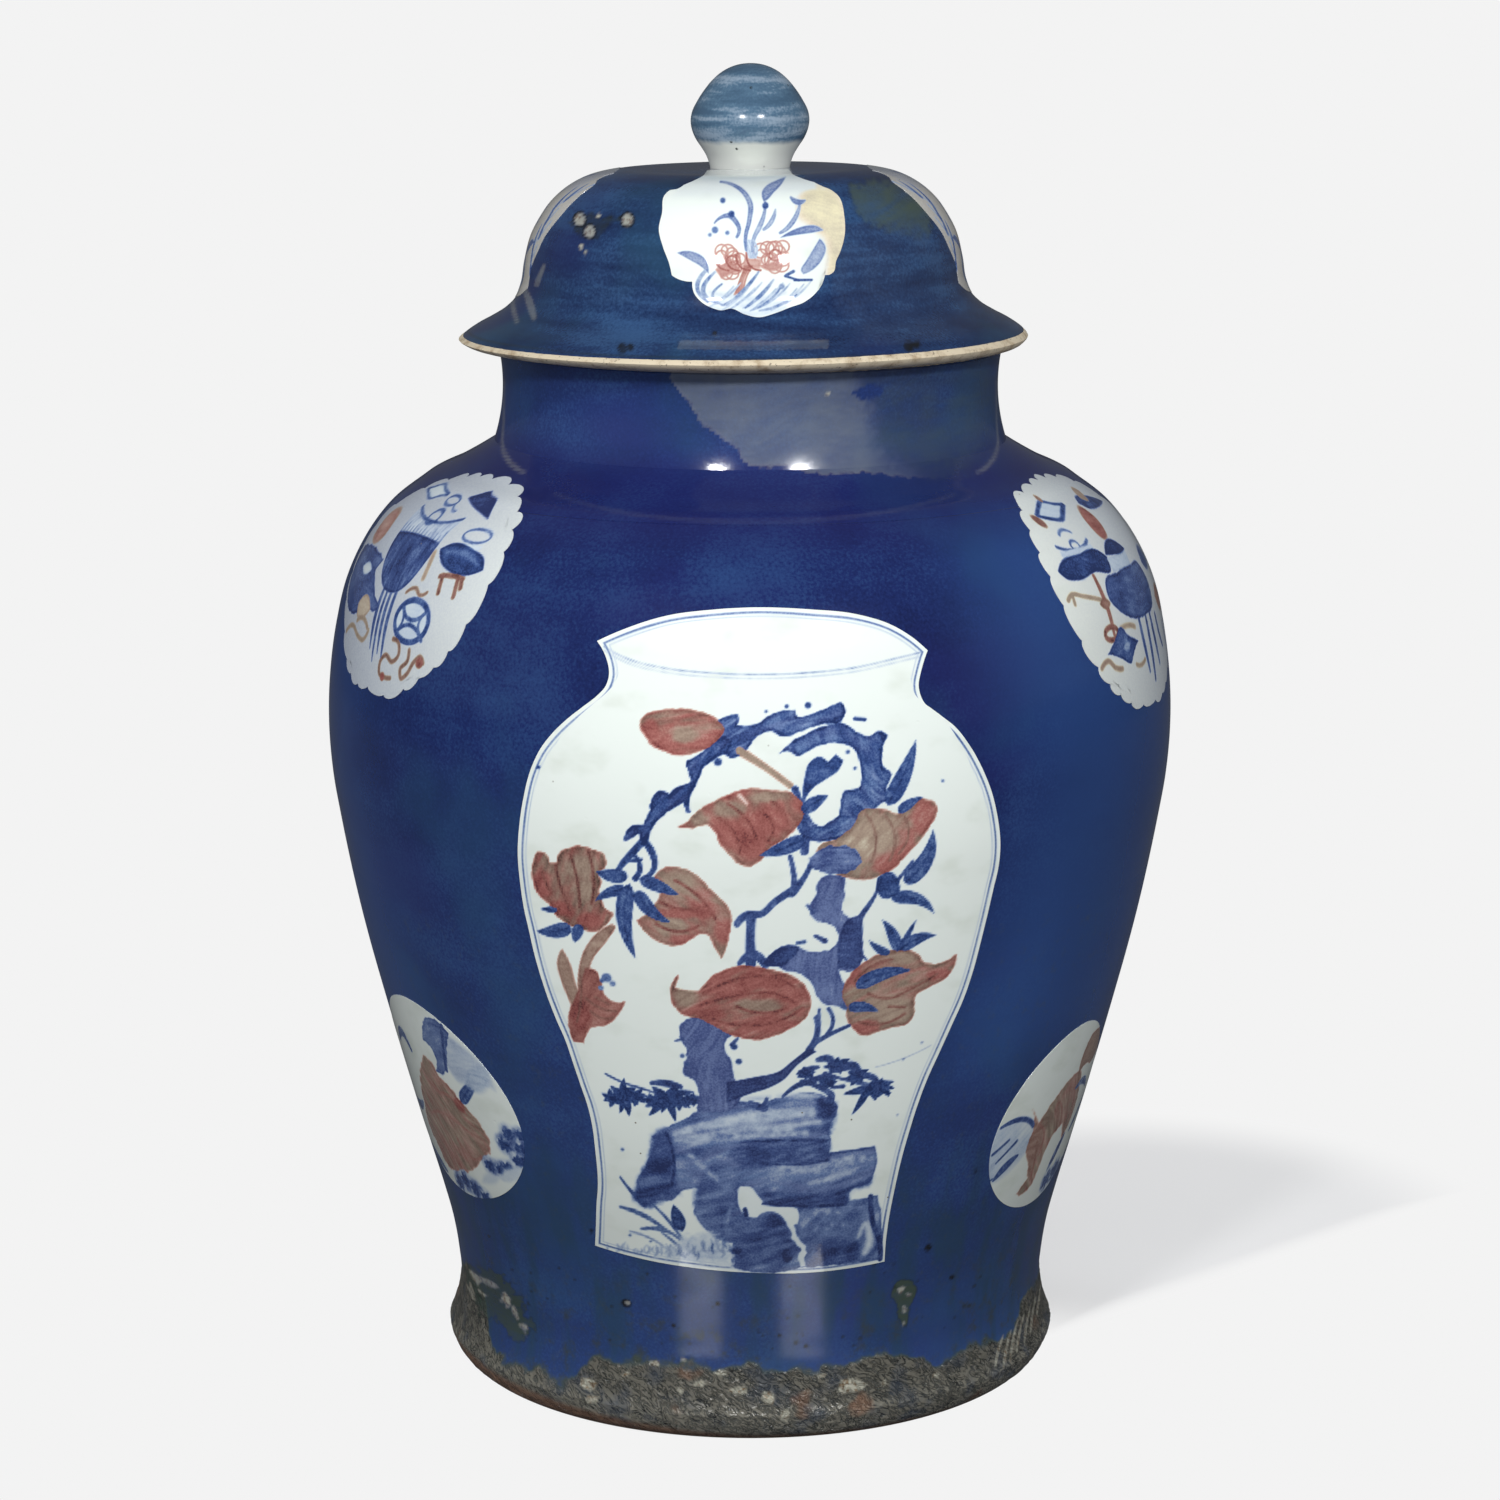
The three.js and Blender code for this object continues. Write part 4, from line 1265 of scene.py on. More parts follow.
def paintFruits(sheet):
    fruit(sheet, [(-50, 335), (-49, 338.5), (-43, 341), (-33, 342), (-25, 341), (-19, 338.5), (-15, 334.5),
        (-17, 331), (-21, 327), (-26, 325), (-33, 323), (-40, 324.5), (-45, 327), (-48, 330.5)], 0.68, 0.25,
        8, reds=[(-40, 327, 8, 3), (-27, 328, 8, 3), (-46, 333, 4, 5)], olives=[(-32, 332, 7, 4)], seed=11)
    fruit(sheet, [(-34.5, 292.5), (-30, 295.5), (-27, 299), (-22, 302.5), (-15, 306), (-8, 309), (-2, 309.3),
        (5, 308.5), (12, 307.5), (17, 303), (17, 296), (13, 291), (9, 287.5), (4, 284), (0, 279), (-5, 276),
        (-9, 277), (-13, 281), (-17, 286), (-19, 291), (-22, 294), (-28, 292.5)], 0.66, 0.35, -32,
        reds=[(-12, 290, 9, 8), (2, 295, 12, 8), (-4, 284, 7, 7)], olives=[(-14, 301, 8, 4), (2, 306, 9, 3),
        (-26, 296, 5, 4)], seed=12)
    stroke(sheet, [(-9, 306.5, 2), (-6, 303, 1.4)], 0.12, pigment="copper", darker=False)
    copperLines(sheet, [[(-14, 303), (-6, 296), (-2, 288)], [(4, 304), (10, 298), (11, 292)],
        [(-18, 297), (-12, 292), (-9, 282)], [(-1, 300), (5, 293), (3, 287)]])
    fruit(sheet, [(24, 284), (31, 287), (38, 292), (42, 299), (46, 299.5), (52, 298.5), (57, 296.5),
        (62, 299), (66, 303), (70, 301), (73, 300), (74, 297), (72, 291), (69, 287), (65, 282), (60, 277),
        (55, 272), (50, 270), (45, 268.5), (40, 269), (33, 271), (27, 273.5), (24, 276)], 0.55, 0.85, 48,
        reds=[(68, 294, 7, 8), (60, 284, 6, 9), (53, 275, 7, 6)], olives=[(48, 288, 12, 10),
        (40, 282, 8, 6)], seed=13, rim=0.24)
    copperLines(sheet, [[(44, 297), (48, 288), (46, 276)], [(52, 296), (56, 288), (54, 276)],
        [(60, 295), (62, 287), (58, 279)]], 0.72, 0.9, 0.7)
    wash(sheet, [(20, 279), (25, 283), (33, 284), (40, 281), (42, 276), (36, 272), (27, 272), (22, 275)],
        0.6, tint=0.5, seed=14, blot=0.7, ragged=1.6, streak=(10, 7), bristle=0.6)
    fruit(sheet, [(-94, 277), (-96, 270), (-96, 264), (-93, 257), (-89, 254), (-87, 250), (-82, 246),
        (-76, 244), (-70, 243.5), (-66, 246), (-62, 252.5), (-66, 255), (-67, 258), (-68, 262), (-67, 266),
        (-68, 270), (-65, 274), (-66, 279), (-71, 280.5), (-76, 281.5), (-80, 280), (-84, 278), (-86, 273),
        (-89, 272.5), (-90, 276)], 0.72, 0.55, 70, reds=[(-92, 262, 5, 8), (-84, 252, 7, 4),
        (-72, 248, 6, 4)], olives=[(-76, 273, 9, 6), (-74, 262, 6, 8)], seed=15)
    copperLines(sheet, [[(-86, 272), (-84, 262), (-80, 252)], [(-80, 278), (-77, 266), (-76, 254)],
        [(-72, 279), (-70, 268), (-71, 256)], [(-92, 268), (-89, 260)]], 0.98, 1.1, 0.35)
    fruit(sheet, [(-44, 271), (-40, 274.5), (-36, 275), (-31, 273.5), (-26, 270.5), (-21, 265), (-17, 261),
        (-14, 257.5), (-12.5, 253), (-13, 247), (-14, 242), (-16.5, 234.5), (-18, 237), (-20, 241),
        (-22, 245), (-26, 245), (-29, 243), (-32, 240.5), (-36, 239.5), (-42, 240.5), (-46, 243), (-50, 247),
        (-52, 250), (-48, 253), (-44, 258), (-42, 263), (-45, 267)], 0.6, 0.55, -38,
        reds=[(-34, 254, 12, 3), (-24, 256, 6, 5), (-32, 242, 8, 3), (-16, 246, 4, 8)],
        olives=[(-34, 268, 8, 6), (-38, 248, 8, 4)], seed=16)
    copperLines(sheet, [[(-42, 259), (-32, 256), (-23, 258)], [(-36, 269), (-26, 262), (-19, 252)],
        [(-44, 249), (-34, 246), (-26, 249)]], 0.9, 1.1, 0.1)
    fruit(sheet, [(-35, 225.5), (-36, 220), (-32, 219), (-26, 219), (-23, 223), (-18, 227.5), (-12, 230),
        (-5, 231), (0, 230), (6, 228.5), (13, 226), (18, 222), (21, 216), (21, 210), (18, 205), (13, 201.5),
        (7, 198.5), (0, 196.5), (-6, 197), (-14, 199.5), (-20, 203), (-26, 206), (-33, 208), (-37, 213),
        (-38, 219)], 0.7, 0.2, 24, reds=[(0, 224, 14, 4), (-12, 220, 9, 5), (6, 203, 14, 4),
        (-22, 208, 8, 3), (12, 216, 6, 7)], olives=[(-32, 216, 6, 6), (0, 212, 12, 4)], seed=17)
    copperLines(sheet, [[(-24, 218), (-12, 224), (2, 226), (14, 221)], [(-26, 212), (-10, 217), (6, 218),
        (15, 213)], [(-20, 206), (-6, 203), (10, 206), (18, 211)], [(-10, 212), (2, 209), (11, 211)]], 0.9,
        1.2, 0.05)
    fruit(sheet, [(35, 219), (38, 225), (43, 230), (49, 233.5), (55, 235), (62, 235), (67, 232), (70, 228),
        (74, 226.5), (80, 227.5), (84, 230), (83, 224), (79, 219), (72, 216), (67, 213.5), (66, 209),
        (66, 204), (63, 200), (57, 199), (50, 197.5), (43, 196.5), (40, 200), (37, 205), (37, 210),
        (35, 214)], 0.58, 0.7, 20, reds=[(45, 200, 7, 4), (40, 224, 5, 5), (76, 222, 6, 3)],
        olives=[(56, 208, 12, 7), (60, 231, 8, 3)], seed=18, rim=0.26)
    copperLines(sheet, [[(40, 222), (46, 228), (56, 231)], [(46, 216), (56, 213), (64, 216), (76, 222)],
        [(42, 203), (52, 201), (62, 205)], [(55, 209), (62, 208)]], 0.85, 1.1, 0.4)


def paintBird(sheet):
    stroke(sheet, [(-62.5, 246, 2.5), (-67, 241, 5), (-72.5, 232.5, 4.6), (-75, 222.5, 4), (-74, 212, 6)],
        0.5, pigment="copper", tint=0.75, blot=0.5, rim=0.2)
    wash(sheet, [(-84, 233.5), (-86, 226), (-85, 221), (-83, 215), (-80, 207.5), (-77.5, 211), (-79, 220),
        (-81, 228)], 0.5, "copper", 0.8, blot=0.45, seed=21)
    wash(sheet, [(-74, 226), (-70, 225), (-67, 219), (-66, 214), (-60, 211), (-57.5, 212), (-60, 206),
        (-66, 200), (-72.5, 197.5), (-74, 195), (-75, 190), (-79.5, 190.5), (-81.5, 200), (-80, 208),
        (-77, 216)], 0.68, "copper", 0.2, blot=0.5, seed=22, streak=(60, 8), ragged=0.8)
    tintPatch(sheet, -76, 203, 5, 9, 0.15, 0.0)
    copperLines(sheet, [[(-74, 212), (-68, 208), (-61, 207)], [(-72, 206), (-66, 203), (-62, 204)],
        [(-70, 213), (-64, 210)], [(-76, 222), (-76, 212), (-78, 200)]], 0.8, 0.8, 0.6)
    dots(sheet, ((-65, 222.5, 2.1), (-62.5, 220, 1.3), (-67, 221, 1), (-67.5, 217.5, 1.2)), 0.6)


def paintBranches(sheet):
    dark, wet = 0.84, 0.7
    branch = {"rim": 0.32, "rimWide": 1.0, "blot": 0.6, "bristle": 0.6, "ragged": 0.8, "tint": 0.15,
        "mix": 0.3}
    wash(sheet, [(-18, 338), (-10, 340.8), (-9.5, 340), (-10, 336), (-3, 336), (5, 340.6), (14, 342),
        (15, 338.75), (21, 340), (27.5, 342.5), (33, 344.6), (35, 341), (33, 337), (25, 336), (16, 333),
        (9, 331), (4, 333.5), (-2, 331), (-7, 325), (-12, 322.5), (-16, 325)], wet, seed=31, streak=(20, 7),
        **branch)
    wash(sheet, [(7.5, 324.2), (12.5, 328.75), (18.75, 332), (27.5, 335.4), (33.75, 336), (40, 332),
        (45, 330), (49, 331.8), (53, 330), (50.5, 323.75), (51, 317.5), (54.6, 313.75), (52.5, 308.75),
        (54, 303), (48, 300), (44, 296), (38, 290), (30, 287), (24, 288), (26, 292.5), (32, 296.5),
        (33, 302), (34, 307), (41, 309), (42, 314), (41, 320), (37.5, 326), (31, 328), (22, 326.5),
        (15, 323), (11, 325)], wet, seed=32, streak=(-50, 7), **branch)
    wash(sheet, [(24, 293), (33, 297), (42, 296), (46, 294), (39, 289.5), (30, 287), (23, 286.5), (17, 289),
        (15, 296), (18, 301), (20, 297)], wet, seed=38, streak=(30, 7), **branch)
    wash(sheet, [(-16, 331), (-20, 329), (-25, 324), (-31, 321), (-30.5, 317), (-29, 312.5), (-33, 310),
        (-35, 309.5), (-38, 306), (-42.5, 307.5), (-44.5, 306), (-46.5, 299), (-49, 293), (-53, 292.5),
        (-57.3, 286), (-56, 285.2), (-51, 289), (-50, 284), (-47, 283.5), (-46.5, 289), (-43, 295),
        (-37.5, 300), (-32.5, 303), (-31, 299), (-29.5, 299), (-29.5, 306), (-26.5, 312), (-24, 318),
        (-19, 322), (-14, 325), (-12, 329)], 0.8, seed=33, streak=(50, 7), sharp=60, **branch)
    strokes(sheet, ([(-49, 286, 3), (-54, 280, 3), (-58, 275, 2.6), (-60.5, 271, 1.6)],
        [(-49, 286, 3), (-45.5, 281, 3), (-44.4, 275, 2.4), (-47.5, 270, 2)], [(-52.5, 279, 1.6),
        (-50.5, 274, 2), (-52.5, 269, 2.6)], [(-58, 276, 1.2), (-50, 277.5, 1.4)]), dark, seed=34)
    stroke(sheet, [(-9, 325.3, 3.6), (-3, 321.5, 2.8), (5, 316, 2.4), (12, 310.5, 2.4)], 0.45,
        pigment="copper", tint=0.95)
    strokes(sheet, ([(14, 309, 3), (17, 301, 2), (18.5, 292, 3.4), (18, 282, 3.4)],
        [(12, 280, 2), (13.5, 273, 2.2), (14, 267, 3)], [(21, 277, 2.2), (17, 269, 2.6), (13, 264, 4)],
        [(-10, 250, 3), (-6, 254, 3.4), (0, 254.5, 3), (6, 260, 3), (12.5, 264.5, 3.4)],
        [(-4, 254, 4), (-4.4, 243, 4), (-4.2, 232, 4.6)], [(-9, 232, 2), (-3, 236, 4), (2, 231, 3)],
        [(50, 267.5, 2.4), (48.5, 262, 1.4), (45, 256, 2.2), (42, 252, 2)], [(56, 265, 1.6), (64, 275, 1.4)],
        [(24, 206, 2.6), (24, 197, 2.6), (21, 191, 3.2)], [(23, 194, 2.4), (29, 197.5, 2), (38, 201.5, 1.6)],
        [(28.5, 198, 1.8), (31, 204, 1.6), (29, 210, 1.8)], [(33, 216, 3.4), (36, 211, 3.6), (40, 209, 1.6)],
        [(25, 210, 1.4), (25, 204, 1.6)]), dark - 0.04, seed=35, tint=0.2)
    wash(sheet, [(-33, 204), (-34, 196), (-31, 190), (-32.5, 184), (-33, 180), (-28, 176), (-26, 168),
        (-27, 163), (-10, 165), (-8, 170), (-11, 178), (-12, 186), (-15, 192), (-12, 199), (-18, 204),
        (-26, 206.5)], 0.66, tint=0.7, blot=0.35, seed=36, ragged=1.2, streak=(80, 9), bristle=0.6)
    wash(sheet, [(0, 231), (3, 235), (8, 239), (14, 240), (18, 238), (24, 236.5), (30, 238), (33, 243),
        (31, 248), (22, 252), (20, 257), (23, 262), (24, 269), (28, 271), (35, 270), (35, 262), (34, 256),
        (38, 251), (45, 254), (42, 248), (43, 240), (43, 232), (41, 228), (33, 228), (34, 224), (37, 218),
        (35, 212), (28, 212), (24, 216), (22, 222), (18, 226), (10, 229), (5, 232)], 0.62, tint=0.7,
        blot=0.4, seed=37, ragged=1.0, streak=(80, 9), bristle=0.6)
    wash(sheet, [(1, 232), (5, 237), (11, 240), (16, 239), (13, 234), (8, 230.5)], 0.92, seed=39, tint=0.3,
        ragged=1)
    wash(sheet, [(33, 240), (37, 251), (43, 252), (43, 240), (43, 232), (41, 228), (33, 229)], 0.84, seed=40,
        tint=0.4)
    strokes(sheet, ([(27, 241.5, 2.4), (23, 244, 1.4)], [(22, 255, 2), (19.4, 258, 1.2)],
        [(43, 234, 1.2), (45.5, 231, 0.8)], [(-12, 194, 2), (-9.5, 197, 1.2)], [(-33, 196, 1.6),
        (-36, 195, 0.8)]), 0.85, tint=0.4)
    wash(sheet, [(-14, 176), (-2, 178.5), (8, 181), (14, 186), (21, 192), (24, 190), (16, 184), (10, 177),
        (3, 173), (-3, 171), (-14, 166)], 0.86, tint=0.45, seed=43, blot=0.25)


def paintLeaves(sheet):
    for base, tip, wide, bend in (((-57, 270), (-69, 271), 6, 1), ((-57, 264), (-69.5, 257.5), 4.6, -1),
            ((-55, 266), (-52.5, 232.5), 7, -3.5), ((-50, 269), (-34.5, 262.5), 5.6, 0),
            ((-51.5, 263), (-38, 250), 6, -2.2), ((-81, 244), (-94.5, 240.5), 6.4, 1),
            ((-76.5, 245), (-78.5, 237.5), 4.6, 0), ((-86, 251.5), (-93, 251), 2.6, 0),
            ((18, 300), (27.8, 306), 5.6, 0.5), ((53, 301), (64.75, 327), 7.2, -1.2),
            ((58, 297.5), (67.8, 302.8), 4.2, 0.6), ((61, 266), (72.5, 288), 7.6, -3.4),
            ((55.5, 259), (73.8, 250.4), 5.6, 3.4), ((58.5, 235), (51.5, 249.5), 5, -1),
            ((60, 235), (66, 248), 2.8, 0.4), ((60, 235.5), (74.8, 240), 5.6, 1.8),
            ((54.5, 234), (46, 240.5), 3.4, 0.8), ((17.5, 287.5), (-1, 280.5), 6.4, 0.6),
            ((41, 219.5), (64.5, 225), 6.4, 2.4), ((38, 210), (50.5, 207), 4.8, 1.2)):
        leaf(sheet, base, tip, wide, bend, 0.74, seed=int(50 + tip[0] % 9))
    wash(sheet, [(17.5, 302.5), (18, 314), (20, 320), (24, 322.4), (27.5, 320), (31, 323), (34, 320.5),
        (32, 316.5), (27, 313), (21, 309)], 0.8, seed=58, rim=0.12)
    wash(sheet, [(49, 269), (54, 271), (58.5, 266), (58, 261), (52, 259), (49.5, 262)], 0.86, seed=59,
        ragged=1)
    dots(sheet, ((-18, 320.6, 1.6), (19.4, 343.75, 1.3), (-33, 188, 1), (-31, 184, 0.8), (-9, 186, 1.3),
        (-11, 193, 1.4), (-93, 314, 0.8), (76.5, 309, 0.6), (36, 324, 0.8), (39, 317, 0.6),
        (10.5, 343.5, 0.8), (2, 341.5, 0.6)), 0.8)
    stroke(sheet, [(39, 337.6, 1.5), (43, 337, 1.6)], 0.85)
    stroke(sheet, [(15.5, 241.2, 1.4), (18.5, 241.4, 1.6)], 0.8)


def paintRock(sheet):
    wash(sheet, [(-39.5, 153), (-33, 157), (-27, 161.5), (-25, 163.5), (0, 165.5), (10, 169), (25, 170),
        (33, 165), (33, 159), (30.5, 154), (31, 143), (30, 140), (46, 141.5), (50.5, 141.5), (51, 131),
        (48.5, 124), (40, 121.5), (39, 115), (32, 113), (20, 114.5), (12, 115.5), (3, 116), (-1, 120),
        (-6, 125), (-9, 125), (-9, 118), (-7, 112), (1, 111), (6, 113), (10, 110), (13, 104), (18, 96),
        (20, 84), (12, 82), (-12, 84.5), (-11, 97), (-18, 98.5), (-23, 103), (-28, 112), (-25.5, 121),
        (-27, 124), (-34, 121), (-38, 116.5), (-45, 116), (-49.5, 112), (-54, 115), (-53, 120), (-52.5, 126),
        (-49.5, 131), (-47, 138), (-45, 142), (-46, 148)], 0.58, tint=0.35, blot=0.6, seed=61,
        streak=(14, 16, 2.4), ragged=1.0, sharp=50, bristle=0.6, mix=0.4)
    wash(sheet, [(17, 114.5), (40, 116), (52, 117), (53.5, 110), (54.5, 100), (54.5, 84), (19, 83.5),
        (19.4, 87), (21.4, 91), (18, 96), (15.6, 105)], 0.62, tint=0.25, blot=0.55, seed=62,
        streak=(50, 10, 2.6), ragged=1.0, sharp=50, bristle=0.5)
    for marks, tone, seed in (([(-46, 148), (-40, 153), (-36, 146), (-37, 132), (-34, 121), (-42, 116),
            (-50, 112.5), (-54, 116), (-52, 126), (-47, 138)], 0.86, 63), ([(-14, 140), (-2, 146.5),
            (14, 147), (30, 147), (30.5, 139), (14, 136), (-2, 135)], 0.8, 64),
            ([(24, 168), (33, 165), (32, 156), (30.5, 150), (24, 152), (25, 160)], 0.84, 65),
            ([(0, 123.5), (14, 121), (30, 121.5), (42, 124), (50, 127), (48.5, 123.5), (40, 120.5),
            (39, 114), (24, 113.5), (4, 115.5)], 0.84, 66), ([(-9, 110), (6, 112.5), (11, 108), (14, 100),
            (17, 92), (10, 84), (-10, 85), (-10, 98), (-20, 99)], 0.78, 67), ([(19, 98), (34, 98), (44, 95),
            (44, 85), (22, 84.5), (26, 92)], 0.84, 68), ([(-25, 128), (-18, 138), (-10, 133), (-10, 120),
            (-14, 104), (-22, 104), (-27, 112)], 0.7, 69)):
        wash(sheet, marks, tone - 0.04, tint=0.3, seed=seed, streak=(15, 14, 2.4), blot=0.6, ragged=2.4,
            soft=2.2, rim=0.04, bristle=0.6)
    for marks, tone in (([(-36, 150, 3), (-22, 155, 5), (-4, 159, 6), (22, 161, 5)], 0.3),
            ([(-30, 146, 2), (-16, 151, 4), (6, 154, 3.4), (26, 156, 3)], 0.28),
            ([(-14, 157.5, 2.2), (-3, 160, 1.2)], 0.14), ([(4, 151, 2.6), (14, 153, 1.2)], 0.16),
            ([(-36, 146, 3), (-24, 149, 4), (-8, 150, 4), (20, 151, 3.4)], 0.4),
            ([(8, 169, 1.6), (16, 169.5, 2), (25, 168.3, 1)], 0.2), ([(-6, 168, 1.4), (4, 168.5, 1.6)],
            0.25), ([(10, 134, 4), (24, 133, 5), (40, 136, 5), (47, 137, 2)], 0.42),
            ([(22, 125.5, 2), (32, 128, 3), (42, 131, 1.6)], 0.34), ([(-30, 140, 2), (-24, 134, 2.4),
            (-18, 128, 1.6)], 0.42), ([(20, 110, 4), (34, 112, 4), (46, 111, 3)], 0.48),
            ([(20, 102, 2), (30, 104, 3), (42, 103, 2)], 0.55), ([(-12, 116, 1.6), (-14, 106, 1.6)], 0.45),
            ([(44, 97, 1), (47, 103, 2.4), (49, 94, 3), (47, 88.5, 2)], 0.15)):
        stroke(sheet, marks, tone, tint=0.3, soft=1.6, darker=False, blot=0.5)
    wash(sheet, [(-8, 125), (-4, 125), (0, 120), (3, 116.5), (12, 115.4), (16, 114), (17, 106), (13, 105),
        (10, 110), (6, 112.5), (1, 111.5), (-1, 109.5), (-5, 110.5), (-8, 114), (-9, 118)], 0.04, seed=71,
        rim=0.0)
    wash(sheet, [(14, 105), (16, 105), (17.4, 98), (21, 93.5), (19.6, 88.5), (21, 84), (18.6, 84),
        (17.4, 89), (18.6, 93), (15, 98)], 0.08, seed=72, rim=0.0, soft=0.6, ragged=2.2)
    for marks, wide, tone in (([(49, 117), (50, 105), (54, 90), (54, 84)], 2.2, 0.95),
            ([(-6, 113.5), (-5.4, 111)], 2, 0.95), ([(-9, 93), (-11, 93)], 3.6, 0.95),
            ([(12.8, 89), (12.8, 91)], 4.6, 0.97), ([(-40, 150), (-37, 140), (-38, 124)], 1.2, 0.95),
            ([(-8, 147), (8, 147.6), (28, 147)], 1, 0.9), ([(0, 137), (16, 135.6), (30, 137)], 1.2, 0.9),
            ([(31, 140), (40, 140.6), (50, 141.4)], 1, 0.85), ([(2, 116.5), (20, 114.6), (38, 114.2)], 1.4,
            0.95), ([(-26, 163), (-6, 166), (1, 164.5), (3, 168)], 1.6, 0.8), ([(-4, 165.5), (2, 163.5)],
            3.4, 0.8)):
        stroke(sheet, marks, tone, wide, tint=0.3)


def paintGround(sheet):
    sprays = (((-58, 167), ((-64, 171), (-65, 164), (-60, 158), (-56, 157), (-52, 163), (-53, 171),
        (-58, 175))), ((-40, 168), ((-50, 166), (-47.5, 158), (-42, 160), (-36, 156), (-31, 163), (-28, 171),
        (-34, 173), (-46, 172.5))), ((47, 171), ((40, 158.5), (44.5, 166), (50, 164.5), (36, 169), (57, 167),
        (58, 172.5), (53, 173.5))))
    for (x, z), tips in sprays:
        for k, tip in enumerate(tips):
            leaf(sheet, (x, z), tip, 3.1 + 0.5 * (k % 2), 0.4, 0.84, 0.1, seed=80 + k, full=0.6)
    for number, (x, z, reach) in enumerate(((-63, 165, 6), (-53, 167, 7), (-45, 165, 7), (-35, 166, 7),
            (-29, 167, 5), (33, 183, 7), (42, 177, 7), (53, 170, 7), (29, 175, 6), (20, 180, 5))):
        for k in range(7):
            turn, long = 0.9 * k + number, reach * (0.7 + 0.3 * latticeValue(k, number, 5))
            tip = (x + long * math.cos(turn), z + 0.8 * long * math.sin(turn))
            leaf(sheet, (x, z), tip, 2.6, 0.3, 0.8, 0.1, seed=k)
    strokes(sheet, ([(-46, 174, 2), (-42, 174.4, 3.2), (-34, 173, 2.4)], [(-66, 176.5, 0.8), (-58, 173, 1),
        (-50, 171, 0.9), (-44, 169, 1)], [(25, 186, 2.6), (30, 186, 3.4), (31, 181.5, 3), (40, 182, 4.4),
        (43, 178.5, 3.4), (49.5, 175, 3), (50, 165, 1.2)], [(16, 179.6, 1), (20, 181.6, 2.4),
        (25, 182.4, 1.4)], [(10, 169, 1.2), (16, 174, 2.4), (22, 176, 3), (28, 178.5, 2)],
        [(28, 179, 2.4), (36, 176, 1.4), (47, 172, 2.6)], [(31, 172.5, 1.2), (36, 172.6, 1.8)],
        [(18, 176, 2), (26, 172.5, 2.4), (31, 168, 3), (29, 164, 3)], [(-60, 126, 1), (-54, 118, 2),
        (-50, 114, 3)]), 0.82, tint=0.2, seed=85)
    for marks, tone in (([(-60, 111, 1.6), (-50, 108, 2.4), (-42, 103, 1.6), (-34, 97, 1)], 0.62),
            ([(-51, 101, 1.4), (-42, 101.5, 2), (-35, 98.5, 1)], 0.6), ([(-46, 114, 1), (-38, 105, 1.6),
            (-30, 91, 1)], 0.62), ([(-42, 100, 1), (-34, 93, 1.6), (-30, 88, 1)], 0.5),
            ([(-56, 99, 0.9), (-48, 97, 1.2), (-40, 92, 0.9)], 0.42)):
        stroke(sheet, marks, tone, seed=86)
    wash(sheet, [(-37, 114.6), (-33, 110), (-31.6, 106), (-33, 101.5), (-36, 103), (-38, 109)], 0.84,
        seed=87)
    wash(sheet, [(-46, 88), (-38, 94), (-30, 99), (-22, 101), (-17, 99), (-12, 92), (-12, 84.6), (-30, 86)],
        0.2, tint=0.2, rim=0, blot=0.9, soft=2.5, ragged=6, seed=89)
    for k in range(58):
        far = k / 57
        x, z = -66 + 53 * far ** 0.7 + 1.2 * math.sin(k * 2.3), 87.5 + 9 * far * latticeValue(k, 2, 6)
        curl, long = 1.6 * math.sin(k * 1.3), 2 + 3.4 * latticeValue(k, 1, 6)
        stroke(sheet, [(x, z, 0.6), (x + curl, z + long * 0.5, 1.1), (x + 0.4 * curl, z + long, 0.5)],
            0.3 + 0.35 * far * latticeValue(k, 4, 6), seed=90 + k, soft=0.5)
    dots(sheet, ((-59, 140, 0.8), (-56, 97, 0.7), (-47, 95, 0.6), (60, 156, 0.4), (70, 190, 0.5),
        (62, 183, 0.5)), 0.6)
    stroke(sheet, [(50, 180.6), (62, 183.4), (74, 188)], 0.3, 0.5, tint=0.2)


def paintVase(sheet):
    outline = vaseBottom + vaseRight[1:] + vaseTop[-2::-1] + vaseLeft[-2:0:-1]
    contour(sheet, outline, 2.0, 0.9, 0.52)
    contour(sheet, outline, 3.5, 0.5, 0.22)
    for drop, tone in ((0, 0.34), (1.6, 0.18)):
        mouth = [(-65, 366), (-55, 361.5), (-40, 358.5), (-20, 357), (0, 356.5), (20, 357), (40, 358.5),
            (55, 361), (67, 363)]
        stroke(sheet, [(x, z - drop) for x, z in mouth], tone, 0.7, tint=0.2, blot=0.6)
    paintRock(sheet)
    paintGround(sheet)
    paintBranches(sheet)
    paintFruits(sheet)
    paintBird(sheet)
    paintLeaves(sheet)


panel("vasePanelFront", vaseSides, (204, 300), 0.75, 1.4, paintVase, fineEdge=True)
print("vase panels painted")


# The lobed panels on the shoulder, with antiques tied in ribbons

def sidesOf(line):
    # Cuts a closed line, run anticlockwise, at its four corners: bottom, right, top and left
    x, z = line[:, 0] - line[:, 0].mean(), line[:, 1] - line[:, 1].mean()
    wide, tall = np.ptp(x), np.ptp(z)
    corners = [int(np.argmax(x * a / wide + z * b / tall)) for a, b in ((-1, -1), (1, -1), (1, 1), (-1, 1))]
    twice = np.concatenate([line, line])
    runs = [twice[i:j + 1 + (len(line) if j < i else 0)] for i, j in zip(corners, corners[1:] + corners[:1])]
    return runs[0], runs[1], runs[2][::-1], runs[3][::-1]


def oval(x, z, across, up):
    angles = np.linspace(0, 2 * math.pi, 240, endpoint=False)
    return np.stack([x + across * np.cos(angles), z + up * np.sin(angles)], -1)


